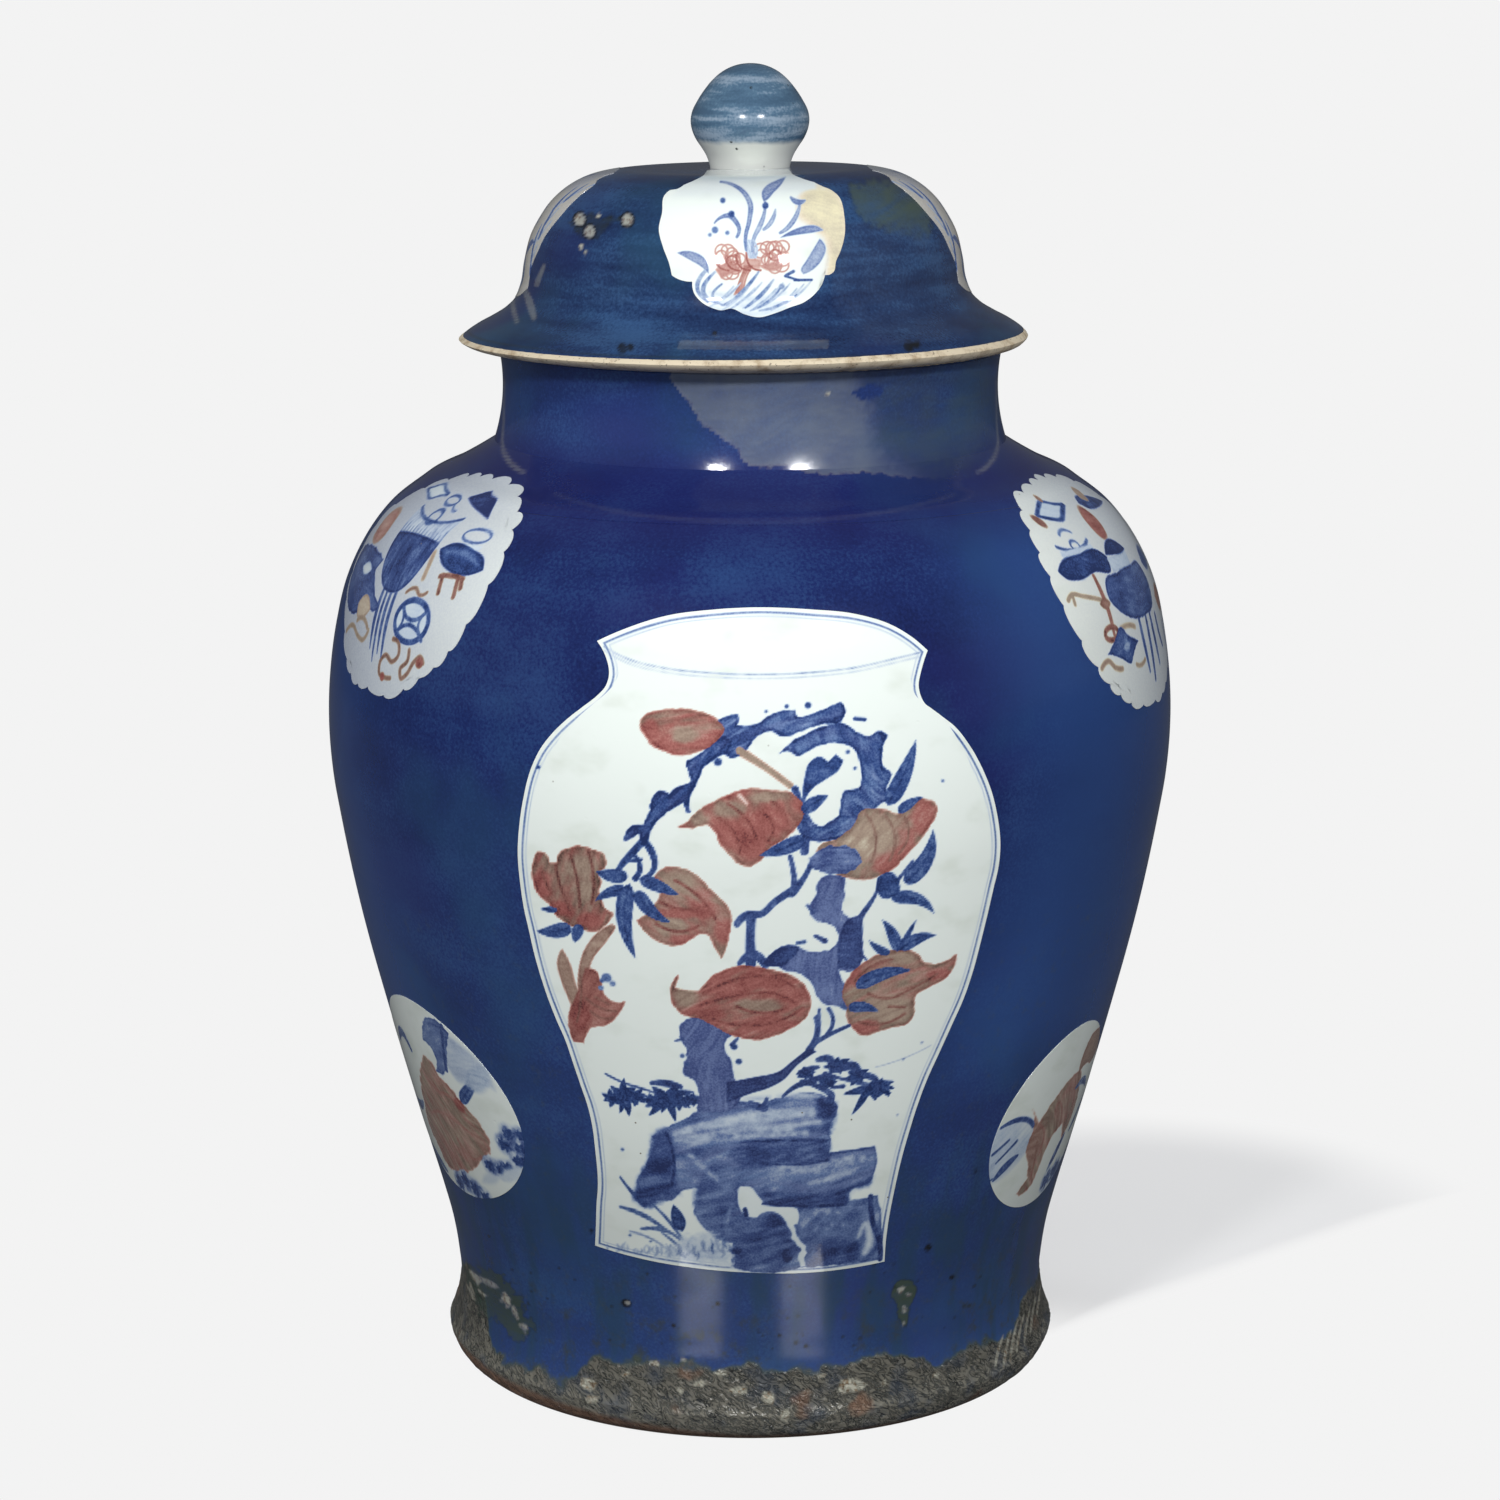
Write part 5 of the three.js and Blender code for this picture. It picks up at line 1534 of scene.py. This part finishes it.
def scalloped(marks, lobes, depth):
    # A closed line with shallow petals between small notches, as uneven as a brush leaves them
    line = smoothLine(marks, 0.4, closed=True, sharp=80)
    run = np.cumsum(np.hypot(*(line - np.roll(line, 1, 0)).T))
    ahead = np.roll(line, -1, 0) - np.roll(line, 1, 0)
    out = np.stack([ahead[:, 1], -ahead[:, 0]], -1) / np.hypot(*ahead.T)[:, None]
    place = run / run[-1] * lobes + 0.25 * np.sin(run / run[-1] * 2 * math.pi * 5)
    part = place % 1
    swell = np.sin(math.pi * part ** 0.75) ** 0.6 * (0.7 + 0.6 * latticeValue(np.floor(place), 3, 9))
    return line + out * (depth * (swell - 0.6))[:, None]


def paintAntiquesLeft(sheet):
    # Painted shade towards the panel's outer side
    paintedSideShade(sheet, 200, -80, tone=0.165, warm=0.6)
    wash(sheet, [(-20, 399), (-20, 407), (0, 404.5), (22, 407), (20, 399), (0, 397)], 0.26, seed=101,
        rim=0.05, blot=0.7, tint=0.5, streak=(80, 6), bristle=0.8)
    for k in range(14):
        stroke(sheet, [(-19 + 3 * k, 401.5 + math.sin(2 * k), 0.6), (-19.4 + 3 * k, 396.5, 1.2)], 0.55,
            soft=0.6)
    wash(sheet, [(-20, 398), (-10, 399), (8, 399), (20, 398), (18, 388), (14, 381), (8, 376.5), (0, 375),
        (-9, 377), (-16, 383), (-19.5, 391)], 0.8, rim=0.28, seed=102, streak=(80, 6), sharp=60, blot=0.5,
        tint=0.2)
    stroke(sheet, [(-20, 408.5), (-10, 405.6), (0, 404.8), (12, 405.5), (22, 408)], 0.75, 1.1)
    loop(sheet, 0, 406.5, 4.4, 2.8, 1.4, 0.7)
    loop(sheet, 0, 413, 5.4, 1.9, 1.0, 0.72)
    stroke(sheet, [(5, 412), (7, 410.4), (11, 409.8)], 0.6, 0.9)
    for x, low, wide in ((-5.5, 350, 2.6), (-1.5, 345, 2.2), (2.5, 349, 2.4), (6.8, 347, 2.6)):
        stroke(sheet, [(x, 376, wide * 0.8), (x - 0.4, 360, wide), (x + 0.3, low, 0.8)], 0.72, tint=0.2)
    wash(sheet, [(12, 366), (18, 373.5), (26, 375), (34, 373), (38.5, 366), (34, 358.5), (25, 356),
        (16, 359)], 0.18, rim=0)
    loop(sheet, 25.5, 366, 12.4, 8.8, 2.6, 0.8)
    strokes(sheet, ([(17, 372), (21, 367.5), (26, 366.6), (31, 368), (35, 372)],
        [(16, 359.5), (21, 363.5), (26, 364.4), (31, 363), (36, 359)]), 0.75, 1.8)
    strokes(sheet, ([(16, 371.4), (19.4, 366), (16, 360.4)], [(35, 371.4), (31.6, 366), (35, 360.4)]), 0.72,
        1.5)
    brown = {"pigment": "copper", "tint": 0.75, "soft": 0.5}
    for marks, wide in (([(15, 377), (21, 379.4), (26, 377), (30, 378.6)], 1.2),
            ([(15, 357), (20, 356), (21.5, 351), (17, 347.4), (11, 349.5), (7, 346), (7.6, 341), (12, 340),
            (17.5, 340.4)], 1.7), ([(29, 354), (29, 349.5), (24.5, 345), (26, 341.6), (30, 344), (34, 350),
            (37.5, 352.4), (40, 350)], 1.7)):
        stroke(sheet, marks, 0.72, wide, **brown)
    dot(sheet, 37.6, 350, 2.4, 0.8, "copper", 0.2)
    dot(sheet, 10.6, 340, 1.8, 0.85, "copper", 0.0)
    loop(sheet, 40, 403, 8.4, 2.6, 1.0, 0.66)
    wash(sheet, [(32, 399.5), (48, 399.5), (46, 397), (34, 397)], 0.2, rim=0)
    wash(sheet, [(23.5, 396), (28, 398.5), (44, 398), (54, 394.6), (56.5, 391), (50, 388.2), (40, 388.2),
        (30, 391)], 0.84, rim=0.28, seed=103, streak=(-10, 6))
    stroke(sheet, [(29, 395.4, 1), (38, 396.2, 2.6), (47, 394.6, 2), (52, 392.6, 0.8)], 0.6, darker=False,
        soft=1.2)
    strokes(sheet, ([(33.6, 386), (41, 387), (48.4, 386.4)], [(35.4, 386.4), (36.4, 382.6), (37.4, 379.4)],
        [(45.4, 386.4), (46.6, 382.6), (47.6, 379)], [(48, 386), (49.4, 382.8)]), 0.8, 1.9, "copper", 0.5)
    wash(sheet, [(-35, 413.5), (-25, 416.6), (-10, 414.4), (-21, 411.6)], 0.14, rim=0, sharp=30)
    strokes(sheet, ([(-37, 413.4), (-31, 415), (-25, 416.8), (-17, 415.6), (-9, 414.6)],
        [(-36, 413.8), (-29, 412.4), (-21, 411.4), (-16, 413), (-9, 414.2)]), 0.7, 0.9)
    wash(sheet, [(-52, 392), (-52, 400), (-46, 404), (-37, 403), (-36, 394), (-42, 390.5)], 0.5, "copper",
        0.3, blot=0.6, soft=1.6, seed=104)
    wash(sheet, [(-60, 386), (-48, 388.6), (-30, 388), (-20, 386), (-23, 381), (-14, 373), (-4, 367.5),
        (-10, 365), (-20, 367), (-30, 361.5), (-46, 362), (-56, 369), (-60, 378)], 0.72, tint=0.3, rim=0.28,
        seed=105, ragged=1.4)
    wash(sheet, [(-43, 380), (-36, 383), (-28, 380.6), (-35, 377.4)], 0.12, rim=0.2)
    wash(sheet, [(-30, 366), (-22, 371), (-13, 366), (-20, 361), (-28, 361)], 0.22, "copper", 0.9, blot=0.5)
    strokes(sheet, ([(-10, 357), (-14, 352.4), (-22, 353), (-30, 356), (-40, 352)],
        [(-26, 359), (-18, 361), (-12, 358)]), 0.45, 1.6, "copper", 1.0, soft=0.8)
    wash(sheet, [(9, 415.2), (13, 416.8), (17.4, 418.4), (21, 417.4), (29, 415.8), (33, 412), (36, 409.4),
        (28, 411), (18, 412.8), (13, 414)], 0.95, tint=0.5, sharp=40, seed=106)
    stroke(sheet, [(21, 394), (22.4, 389), (23, 384)], 0.35, 2.2, "copper", 0.9, soft=0.9)


def paintAntiquesRight(sheet):
    # Painted shade towards the panel's outer side
    paintedSideShade(sheet, -160, 60, tone=0.125, warm=0.6)
    wash(sheet, [(-43, 409), (-30, 413.4), (-17, 410.3), (-31, 406)], 0.2, rim=0, sharp=30)
    stroke(sheet, [(-43.5, 409), (-36, 411.6), (-30, 413.2), (-22, 411.4), (-15, 410.4)], 0.8, 1.2)
    stroke(sheet, [(-43.5, 409), (-37, 407), (-31, 406), (-24, 408), (-16, 410.4)], 0.85, 1.5)
    dot(sheet, -46.4, 407, 2.4, 0.85, "copper", 0.5)
    dot(sheet, -28.6, 414.2, 1.4, 0.6, "copper", 0.7)
    stroke(sheet, [(-43, 401), (-38.5, 402.6), (-33, 401)], 0.6, 1.2)
    stroke(sheet, [(-51, 397), (-45, 395), (-37, 394.4), (-31, 395), (-25, 397)], 0.75, 1.4)
    loop(sheet, -37.5, 396, 3.2, 2, 1.2, 0.7)
    wash(sheet, [(-51, 395), (-25, 395), (-24, 391.5), (-52, 391.5)], 0.26, rim=0)
    wash(sheet, [(-60, 388), (-55, 391), (-40, 392.5), (-21, 391.5), (-17, 388.5), (-19, 384), (-35, 384.5),
        (-50, 383), (-58, 385)], 0.9, rim=0.28, seed=111, streak=(0, 7))
    wash(sheet, [(-12.5, 403), (-8, 407), (-3, 408), (0.4, 403), (-2, 396.5), (-8, 395), (-12, 398)], 0.66,
        "copper", 0.15, blot=0.5, seed=112, soft=0.8)
    wash(sheet, [(-18, 388), (8, 388), (6, 381.5), (-18, 382)], 0.24, rim=0.05)
    wash(sheet, [(-17, 389.4), (-12, 393), (-4, 394.4), (4, 391.8), (9, 388.6), (0, 387.8), (-8, 388.4)],
        0.95, rim=0.28, seed=113)
    wash(sheet, [(-33, 374), (-30, 379.5), (-15, 381.5), (5, 382), (19, 381), (24, 371), (20, 363.5),
        (5, 360.5), (-10, 361), (-22, 364), (-30, 369)], 0.78, tint=0.15, rim=0.28, seed=114, streak=(0, 9),
        ragged=0.8)
    strokes(sheet, ([(-8, 360, 2.4), (-7, 350, 3.2), (-4, 336.5, 1.6)], [(2, 360, 2.4), (2.4, 346, 3.2),
        (3.4, 331.5, 1.8)], [(9.5, 360, 2.6), (11, 348, 3.2), (14, 337, 1.6)], [(20, 358, 2.4), (21, 351, 3),
        (26, 343, 1.6)]), 0.76, tint=0.2, soft=0.7)
    stroke(sheet, [(-63, 376), (-59, 378), (-52, 376.4), (-44, 374.4), (-39, 373)], 0.42, 1.7, "copper", 1.0)
    stroke(sheet, [(-59, 377), (-59.6, 374)], 0.42, 1.6, "copper", 1.0)
    stroke(sheet, [(-37.4, 383), (-37, 372, 3), (-37, 358)], 0.72, 2.1, "copper", 0.35)
    wash(sheet, [(-42, 371.5), (-37, 373.5), (-33, 371), (-38, 369)], 0.7, "copper", 0.6)
    loop(sheet, -39, 358.6, 5.6, 2.8, 2.2, 0.85, "copper", 0.4)
    stroke(sheet, [(-30, 359.4), (-22, 359.6), (-15, 358)], 0.4, 1.8, "copper", 1.0, soft=0.8)
    wash(sheet, [(-45.5, 350.4), (-38, 355), (-30, 360), (-25, 356.4), (-14, 351.6), (-20, 348.4),
        (-26, 343.6), (-34, 347)], 0.76, tint=0.1, rim=0.28, seed=115, streak=(20, 6), ragged=0.8)
    wash(sheet, [(-31, 351), (-27, 354.6), (-23, 352), (-27, 349)], 0.45, rim=0.1)
    stroke(sheet, [(-52, 345.4), (-46, 347.6), (-41, 344), (-35, 342.6)], 0.48, 2, "copper", 0.9, soft=0.7)
    stroke(sheet, [(-20, 342), (-15, 341), (-9, 342.6)], 0.4, 1.6, "copper", 1.0, soft=0.7)
    leaf(sheet, (0, 409), (34, 405.6), 5.4, 0.4, 0.88, seed=7)
    wash(sheet, [(8, 410), (14, 414), (18, 412), (16, 409)], 0.4, "copper", 0.9, rim=0)
    wash(sheet, [(28, 380), (34, 385), (44, 384), (48, 379), (40, 376), (32, 376.6)], 0.66, tint=0.3,
        seed=116, soft=1.2)
    wash(sheet, [(31, 364), (40, 368), (50, 364), (46, 358), (36, 358)], 0.55, "copper", 0.4, seed=117,
        soft=1.2)
    for x in (36, 42, 48):
        stroke(sheet, [(x, 352, 1.6), (x + 2, 344, 2), (x + 6, 339, 1)], 0.6, tint=0.3)


def foliage(sheet, places, tone=0.7):
    # Clumps of short leaves dabbed on round a middle
    for number, (x, z, reach) in enumerate(places):
        stroke(sheet, [(x - 0.5, z, 1.9 * reach), (x + 0.5, z, 1.9 * reach)], 0.45, tint=0.3, soft=2.2,
            blot=0.9, darker=False)
        for k in range(9):
            turn, long = 0.8 * k + number, reach * (0.6 + 0.4 * latticeValue(k, number, 5))
            root = (x + 0.2 * long * math.cos(turn), z)
            tip = (x + long * math.cos(turn), z + 0.85 * long * math.sin(turn))
            leaf(sheet, root, tip, 0.42 * reach, 0.4, tone, 0.15, seed=k)


def paintBeastLeft(sheet):
    wash(sheet, [(30, 181), (46, 176), (60, 166), (61, 158), (46, 160), (36, 156), (30, 162)], 0.24,
        tint=0.4, blot=0.6, seed=121, soft=2, rim=0)
    wash(sheet, [(12, 170.5), (16, 178), (23, 184), (32, 184.5), (39, 180), (34, 172), (30, 164),
        (25, 157.5), (17, 157), (21, 164), (18, 169)], 0.58, tint=0.3, blot=0.5, seed=122, ragged=1.6)
    stroke(sheet, [(35, 183, 2), (31, 172, 2), (28, 160, 2.4)], 0.78, tint=0.3)
    leaf(sheet, (33, 146), (52, 161), 6, 0.5, 0.72, seed=8)
    wash(sheet, [(40, 156), (48, 165), (60, 168), (56, 158), (48, 154)], 0.34, blot=0.6, soft=1.8, rim=0)
    wash(sheet, [(-18, 118), (-14, 135), (-7, 148), (0, 155), (8, 161), (14, 160), (18, 154), (26, 151),
        (32, 146), (38, 142), (44, 136), (45.5, 129), (42, 123), (34, 118), (28, 113), (14, 107), (2, 104),
        (-8, 106), (-12, 112)], 0.46, "copper", 0.66, blot=0.8, seed=123, streak=(-48, 8), ragged=2.4,
        soft=0.9, bristle=0.7, mix=0.5)
    copperLines(sheet, [[(0, 120), (4, 112), (6, 105)], [(8, 120), (14, 112), (18, 108)],
        [(18, 124), (28, 117), (36, 120)], [(2, 150), (12, 146), (24, 146), (34, 140)],
        [(-6, 130), (6, 134), (20, 134), (34, 130)], [(-10, 118), (-4, 110)]], 0.5, 1.6, 0.3)
    tintPatch(sheet, 31, 144, 5, 4, 0.25, 0.0)
    foliage(sheet, ((56, 131, 5), (61, 137, 5), (66, 130, 6), (62, 124, 5), (68, 138, 4), (41, 117, 5),
        (49, 117, 5), (54, 119, 4), (6, 99, 6), (14, 102, 6), (22, 100, 6), (29, 98, 5)))
    wash(sheet, [(30, 106), (36, 112), (50, 112), (60, 116), (64, 122), (52, 118), (40, 108)], 0.16, rim=0,
        soft=1.5)
    strokes(sheet, ([(-30, 160, 3), (-18, 166, 5), (-10, 160, 3)], [(-40, 130, 2), (-28, 128, 5),
        (-18, 132, 2)], [(-36, 108, 2), (-22, 104, 5), (-10, 100, 2)]), 0.62, tint=0.2, blot=0.5)


def paintBeastRight(sheet):
    wash(sheet, [(-68, 138), (-60, 141), (-50, 140), (-42, 136), (-38, 128), (-46, 117), (-60, 111),
        (-68, 118)], 0.2, tint=0.1, blot=0.8, seed=131, streak=(40, 14), soft=1.6, rim=0)
    strokes(sheet, ([(-66, 139, 1.6), (-58, 140.4, 2.6), (-50, 139, 2.4), (-42, 134, 2.4)],
        [(-60, 112, 1.2), (-55, 117, 4.6), (-48, 121, 1.6)], [(-67, 111, 1), (-61, 113, 1)],
        [(-66, 126, 1.6), (-58, 131, 1.4)], [(-62, 121, 1), (-52, 129, 1.8)]), 0.76, tint=0.2)
    wash(sheet, [(-47, 143), (-41, 137), (-38, 132), (-34, 138), (-26, 145), (-16, 150), (-4, 150), (2, 141),
        (5, 132), (2, 122), (-3, 117), (-9, 126), (-18, 123), (-23, 113), (-25, 103), (-30, 98.5),
        (-38, 100), (-32, 106), (-36, 114), (-42, 124), (-41, 131)], 0.46, "copper", 0.7, blot=0.8, seed=132,
        streak=(-50, 8), ragged=1.8, soft=0.8, bristle=0.7, mix=0.5)
    copperLines(sheet, [[(-38, 133), (-30, 128), (-28, 116)], [(-22, 140), (-14, 132), (-12, 126)],
        [(-8, 146), (-2, 136), (0, 124)], [(-34, 124), (-30, 112), (-29, 104)]], 0.55, 1.5, 0.3)
    tintPatch(sheet, -37, 118, 8, 16, 0.1, 0.6)
    wash(sheet, [(-7, 150), (-8, 158), (-4, 166), (6, 168), (16, 164), (22, 154), (12, 150), (4, 152)], 0.5,
        "copper", 0.75, seed=133, ragged=1.4)
    strokes(sheet, ([(-11, 104, 2), (-6, 111, 5), (0, 118, 2)], [(-4, 142, 2), (6, 143, 4), (16, 138, 2)],
        [(8, 118, 2), (16, 124, 5), (24, 132, 2)]), 0.62, tint=0.3, blot=0.5)
    foliage(sheet, ((-8, 98, 6), (2, 100, 6), (12, 98, 5), (22, 104, 5)), 0.6)


# The panels of the cover: a flower spray over waves

coverPanelSides = (
    [(-30.5, 513.5), (-27.8, 512), (-21.7, 511), (-21, 506.3), (-17.2, 502), (-13.3, 500), (-9.4, 499),
     (-5, 499.7), (0.5, 497.4), (7.2, 496), (13.3, 497.4), (20, 499.7), (26.7, 502), (31.7, 506.3),
     (32.8, 513), (36.7, 512.8)],
    [(36.7, 512.8), (38.7, 513.8), (40, 518.6), (41.8, 522.4), (43.9, 530.6), (43.7, 536.4), (41.3, 544.8),
     (38.3, 547.2), (34, 549), (30.8, 550.5)],
    [(-25.5, 550.2), (-19, 552.6), (-13, 555.2), (-7, 558.6), (0, 560.4), (8, 559.2), (15, 556), (23, 552.8),
     (30.8, 550.5)],
    [(-30.5, 513.5), (-31.7, 518.6), (-34.3, 525.2), (-36.2, 532.8), (-34.9, 539), (-34, 546),
     (-32.1, 547.8), (-28.4, 548.6), (-25.5, 550.2)])


def blade(sheet, marks, tone=0.5):
    # A long grass blade: full at its root, drawn out to a point
    n = len(marks)
    stroke(sheet, [(x, z, w) for (x, z), w in zip(marks, np.interp(range(n), [0, n * 0.45, n - 1],
        [1.2, 2.3, 0.7]))], tone, rim=0.16, tint=0.45)


def scrollFlower(sheet, x, z, r, seed):
    # A blossom drawn as tight copper-red curls
    for k in range(12):
        a = 2 * math.pi * k / 12 + seed
        reach = r * (0.46 + 0.22 * math.sin(5 * k + seed))
        loop(sheet, x + reach * math.cos(a), z + reach * math.sin(a), 0.34 * r, (0.3 + 0.05 * (k % 3)) * r,
            0.42, 0.52, "copper", 0.0)
    loop(sheet, x + 0.1 * r, z, 0.3 * r, 0.26 * r, 0.5, 0.7, "copper", 0.0)


def paintSpray(sheet):
    wash(sheet, [(27, 548), (36, 549), (43, 543), (44.6, 530), (41, 514), (36, 513), (36.4, 520), (36, 527),
        (30, 533), (24, 538)], 0.13, "copper", 1.0, rim=0, blot=0.8, soft=3, seed=140)
    wash(sheet, [(-30, 546), (0, 545.6), (32, 547.6), (31, 551), (0, 554), (-26, 551)], 0.06, tint=1.0,
        rim=0, soft=2.4)
    for x, z, r, seed in ((-5.6, 519.6, 8, 0.2), (12.9, 521.8, 8.6, 0.7)):
        scrollFlower(sheet, x, z, r, seed)
    for marks, tone in (([(-11.5, 516), (-9, 512.6), (-6, 514), (-1, 515.4), (-3, 518), (-9, 518)], 0.35),
            ([(0, 517.5), (7, 516.5), (8, 520), (1, 520.6)], 0.2), ([(8, 517), (13, 515.4), (17, 517),
            (13, 519)], 0.3)):
        wash(sheet, marks, tone, "copper", 0.05, blot=0.5, soft=0.8, sharp=40)
    for k in range(7):
        stroke(sheet, [(0.5 + 0.6 * k, 517.5), (-1 - 0.5 * k + 0.4 * k * k / 3, 511),
            (-4 + 0.7 * k, 505 + 0.4 * k)], 0.5, 0.6, "copper", 0.1)
    for k in range(4):
        stroke(sheet, [(-12 + 4.5 * k, 520 + k), (-10 + 4.5 * k, 517), (-6 + 4.5 * k, 515.6)], 0.7, 0.7,
            "copper", 0.0)
    wash(sheet, [(-28.2, 522.9), (-24.2, 523.8), (-19.7, 522.9), (-16.1, 520.4), (-14.7, 514.4),
        (-18.1, 517.4), (-22.7, 520)], 0.42, tint=0.5, seed=141, streak=(-20, 8))
    wash(sheet, [(32.9, 528.1), (35.5, 524.2), (33.9, 519.4), (30.4, 515.6), (25.9, 513.5), (24.9, 514.7),
        (27.4, 519.6), (30.4, 524.3)], 0.34, tint=0.4, seed=142, streak=(60, 8))
    wash(sheet, [(15.9, 528.9), (20.9, 531.7), (25.9, 533.3), (31, 533.4), (34.5, 531.4), (29.9, 530.6),
        (23.9, 530)], 0.4, tint=0.5, seed=143, streak=(20, 8))
    wash(sheet, [(8.9, 543.6), (8.3, 547.7), (10.4, 549.9), (14, 551.4), (18.6, 552.6), (16.2, 549.7),
        (12.9, 546.8), (10.6, 544.4)], 0.46, tint=0.5, seed=144, streak=(40, 8))
    blade(sheet, [(1.4, 524.2), (1.1, 529.5), (2.7, 536.2), (3.1, 542.7), (0.3, 547.3), (-4.2, 550.1),
        (-9.8, 551.3)], 0.4)
    blade(sheet, [(3.9, 523.7), (4.9, 529.5), (7, 533.4), (8.9, 538), (9.5, 543.4)], 0.3)
    blade(sheet, [(8.9, 532.4), (11.9, 535.2), (13.9, 540.3)], 0.28)
    blade(sheet, [(15.9, 530.9), (18.4, 532.3), (22.4, 536.9), (24.5, 542.5)], 0.32)
    stroke(sheet, [(20.6, 545, 1), (24, 543, 2.2), (26.6, 543.6, 0.8)], 0.5, tint=0.4)
    blade(sheet, [(-2.6, 529.5), (-1.6, 532.4), (-3.2, 535.9), (-5.7, 538.1), (-9.2, 537.6), (-12.2, 535.2)],
        0.42)
    for k in range(5):
        stroke(sheet, [(0.5 + k, 528), (2 + k, 523), (3 + 0.6 * k, 521)], 0.3, 0.8, tint=0.1)
    for x, z, r, tone in ((-8.7, 544.2, 1.1, 0.6), (-12, 532.4, 1.4, 0.62), (-14.2, 530.4, 0.8, 0.5),
            (-6.7, 531.2, 0.9, 0.55), (9.6, 542, 1.3, 0.8), (-5, 538.8, 1.3, 0.8), (16.6, 508.6, 1.2, 0.4)):
        dot(sheet, x, z, r, tone)
    strokes(sheet, ([(-16, 515.5, 1.6), (-19.5, 508, 1.8), (-15, 502.5, 1)], [(-12, 515, 1), (-16.8, 506, 2),
        (-11, 502, 1)], [(6.7, 515, 0.8), (0, 507, 1.6), (-7, 501, 1)], [(13, 511.5, 0.8), (7, 504.6, 1.8),
        (1, 500, 1)], [(16, 508, 0.8), (11, 502.6, 1.4), (4, 499, 0.8)], [(23, 505, 0.8), (16, 501, 1.4),
        (7, 498.6, 0.9)], [(-9, 510, 0.8), (-13, 504.6, 1.4), (-8, 501, 0.8)], [(4, 512, 0.6),
        (-2, 505, 1.2), (-9, 501, 0.8)]), 0.42, tint=0.0, blot=0.5)
    for k in range(12):
        x, z = -10 + 3 * k, 500 + 1.5 * math.sin(k * 1.9)
        stroke(sheet, [(x + 6, z + 9, 0.6), (x + 1, z + 4, 1.1), (x - 5, z, 0.7)], 0.3, tint=0.0, blot=0.5,
            seed=k)
    strokes(sheet, ([(18.6, 513.4, 1.2), (21.6, 514.8, 1.4)], [(22, 511.2, 1), (29.4, 511, 1)],
        [(18, 513, 1), (24, 511, 0.8)]), 0.7)
    for z in (498.5, 501.5, 504.5):
        stroke(sheet, [(-14, z + 2, 1.2), (-4, z, 2.4), (8, z - 1, 2.4), (18, z + 1.4, 1.2)], 0.14, tint=0.0,
            soft=1.2)


coverSideRight = [(33, 503), (33, 511), (38, 520.6), (40, 528), (42.4, 537.6), (38, 548), (30, 550.6),
    (21, 552.8)]
coverSideSides = (
    [(-33, 503), (-25, 499.4), (-14, 497.6), (0, 496.6), (14, 497.6), (25, 499.4), (33, 503)],
    coverSideRight,
    [(-21, 552.8), (-10, 553.2), (0, 553.3), (10, 553.2), (21, 552.8)],
    [(-x, z) for x, z in coverSideRight])


def paintSideSpray(sheet):
    paintSpray(sheet)
    # Painted shade towards one side of the panel
    paintedSideShade(sheet, 30, -20, tone=0.095, warm=1.3)
    for side in (-1, 1):
        for k in range(7):
            x, z = side * (34 - 2 * (k % 3)), 508 + 5.5 * k
            leaf(sheet, (x, z), (x - side * (3 + k % 2), z + 8 + 2 * (k % 3)), 2.4, 0.5, 0.55, 0.1, seed=k)
            stroke(sheet, [(x + side, z + 3, 0.8), (x + 3 * side, z + 8, 1.2)], 0.4)


def backs(name, sides, size, step, places, paint, **more):
    for number, (centre, mirrored) in enumerate(places):
        panel(f"{name}{number + 1}", sides, size, step, centre, paint, mirrored=mirrored, **more)


lobedLeft = sidesOf(scalloped([(-63, 397), (-49, 410), (-30, 418), (-10, 422), (10, 422.4), (27, 421.4),
    (41, 417.4), (52, 410.4), (60.5, 401), (64, 388), (63, 374), (58, 362), (51, 351.5), (39, 343),
    (27, 335.5), (15, 331.6), (0, 332.6), (-15, 332.6), (-28, 337.6), (-39, 346), (-49, 357), (-59, 370),
    (-64, 384)][::-1], 27, 2.1))
lobedRight = sidesOf(scalloped([(-56.5, 406.5), (-47, 413), (-33, 418), (-16, 419.6), (6, 419.6), (24, 417),
    (39, 410), (50, 401), (57, 391), (59, 380), (56, 367), (50, 353), (42, 340), (30, 329), (13, 322.6),
    (-8, 322.6), (-25, 324), (-39, 331), (-51, 341), (-58, 350), (-64, 360), (-67.5, 372), (-67.5, 382),
    (-64, 396)][::-1], 28, 2.1))
roundLeft, roundRight = sidesOf(oval(9, 142, 60, 47)), sidesOf(oval(-20, 133.6, 48, 43.5))
panel("lobedPanelLeft", lobedLeft, (122, 89), 0.5, -60, paintAntiquesLeft)
panel("lobedPanelRight", lobedRight, (128, 96), 0.5, 69, paintAntiquesRight)
panel("roundPanelLeft", roundLeft, (118, 94), 0.6, -64, paintBeastLeft)
panel("roundPanelRight", roundRight, (96, 87), 0.6, 68, paintBeastRight)
panel("coverPanelFront", coverPanelSides, (76, 66), 0.3, 0, paintSpray, "cover")
backs("vasePanelBack", vaseSides, (204, 300), 1.0, ((121, False), (-119, True)), paintVase, fineEdge=True)
backs("lobedPanelBack", lobedLeft, (122, 89), 0.7, ((180, False),), paintAntiquesLeft)
backs("roundPanelBack", roundRight, (96, 87), 0.7, ((187, False),), paintBeastRight)
backs("coverPanelBack", coverSideSides, (76, 58), 0.5, ((92, False), (180, False), (-92, True)),
    paintSideSpray, body="cover")
print("all panels painted")
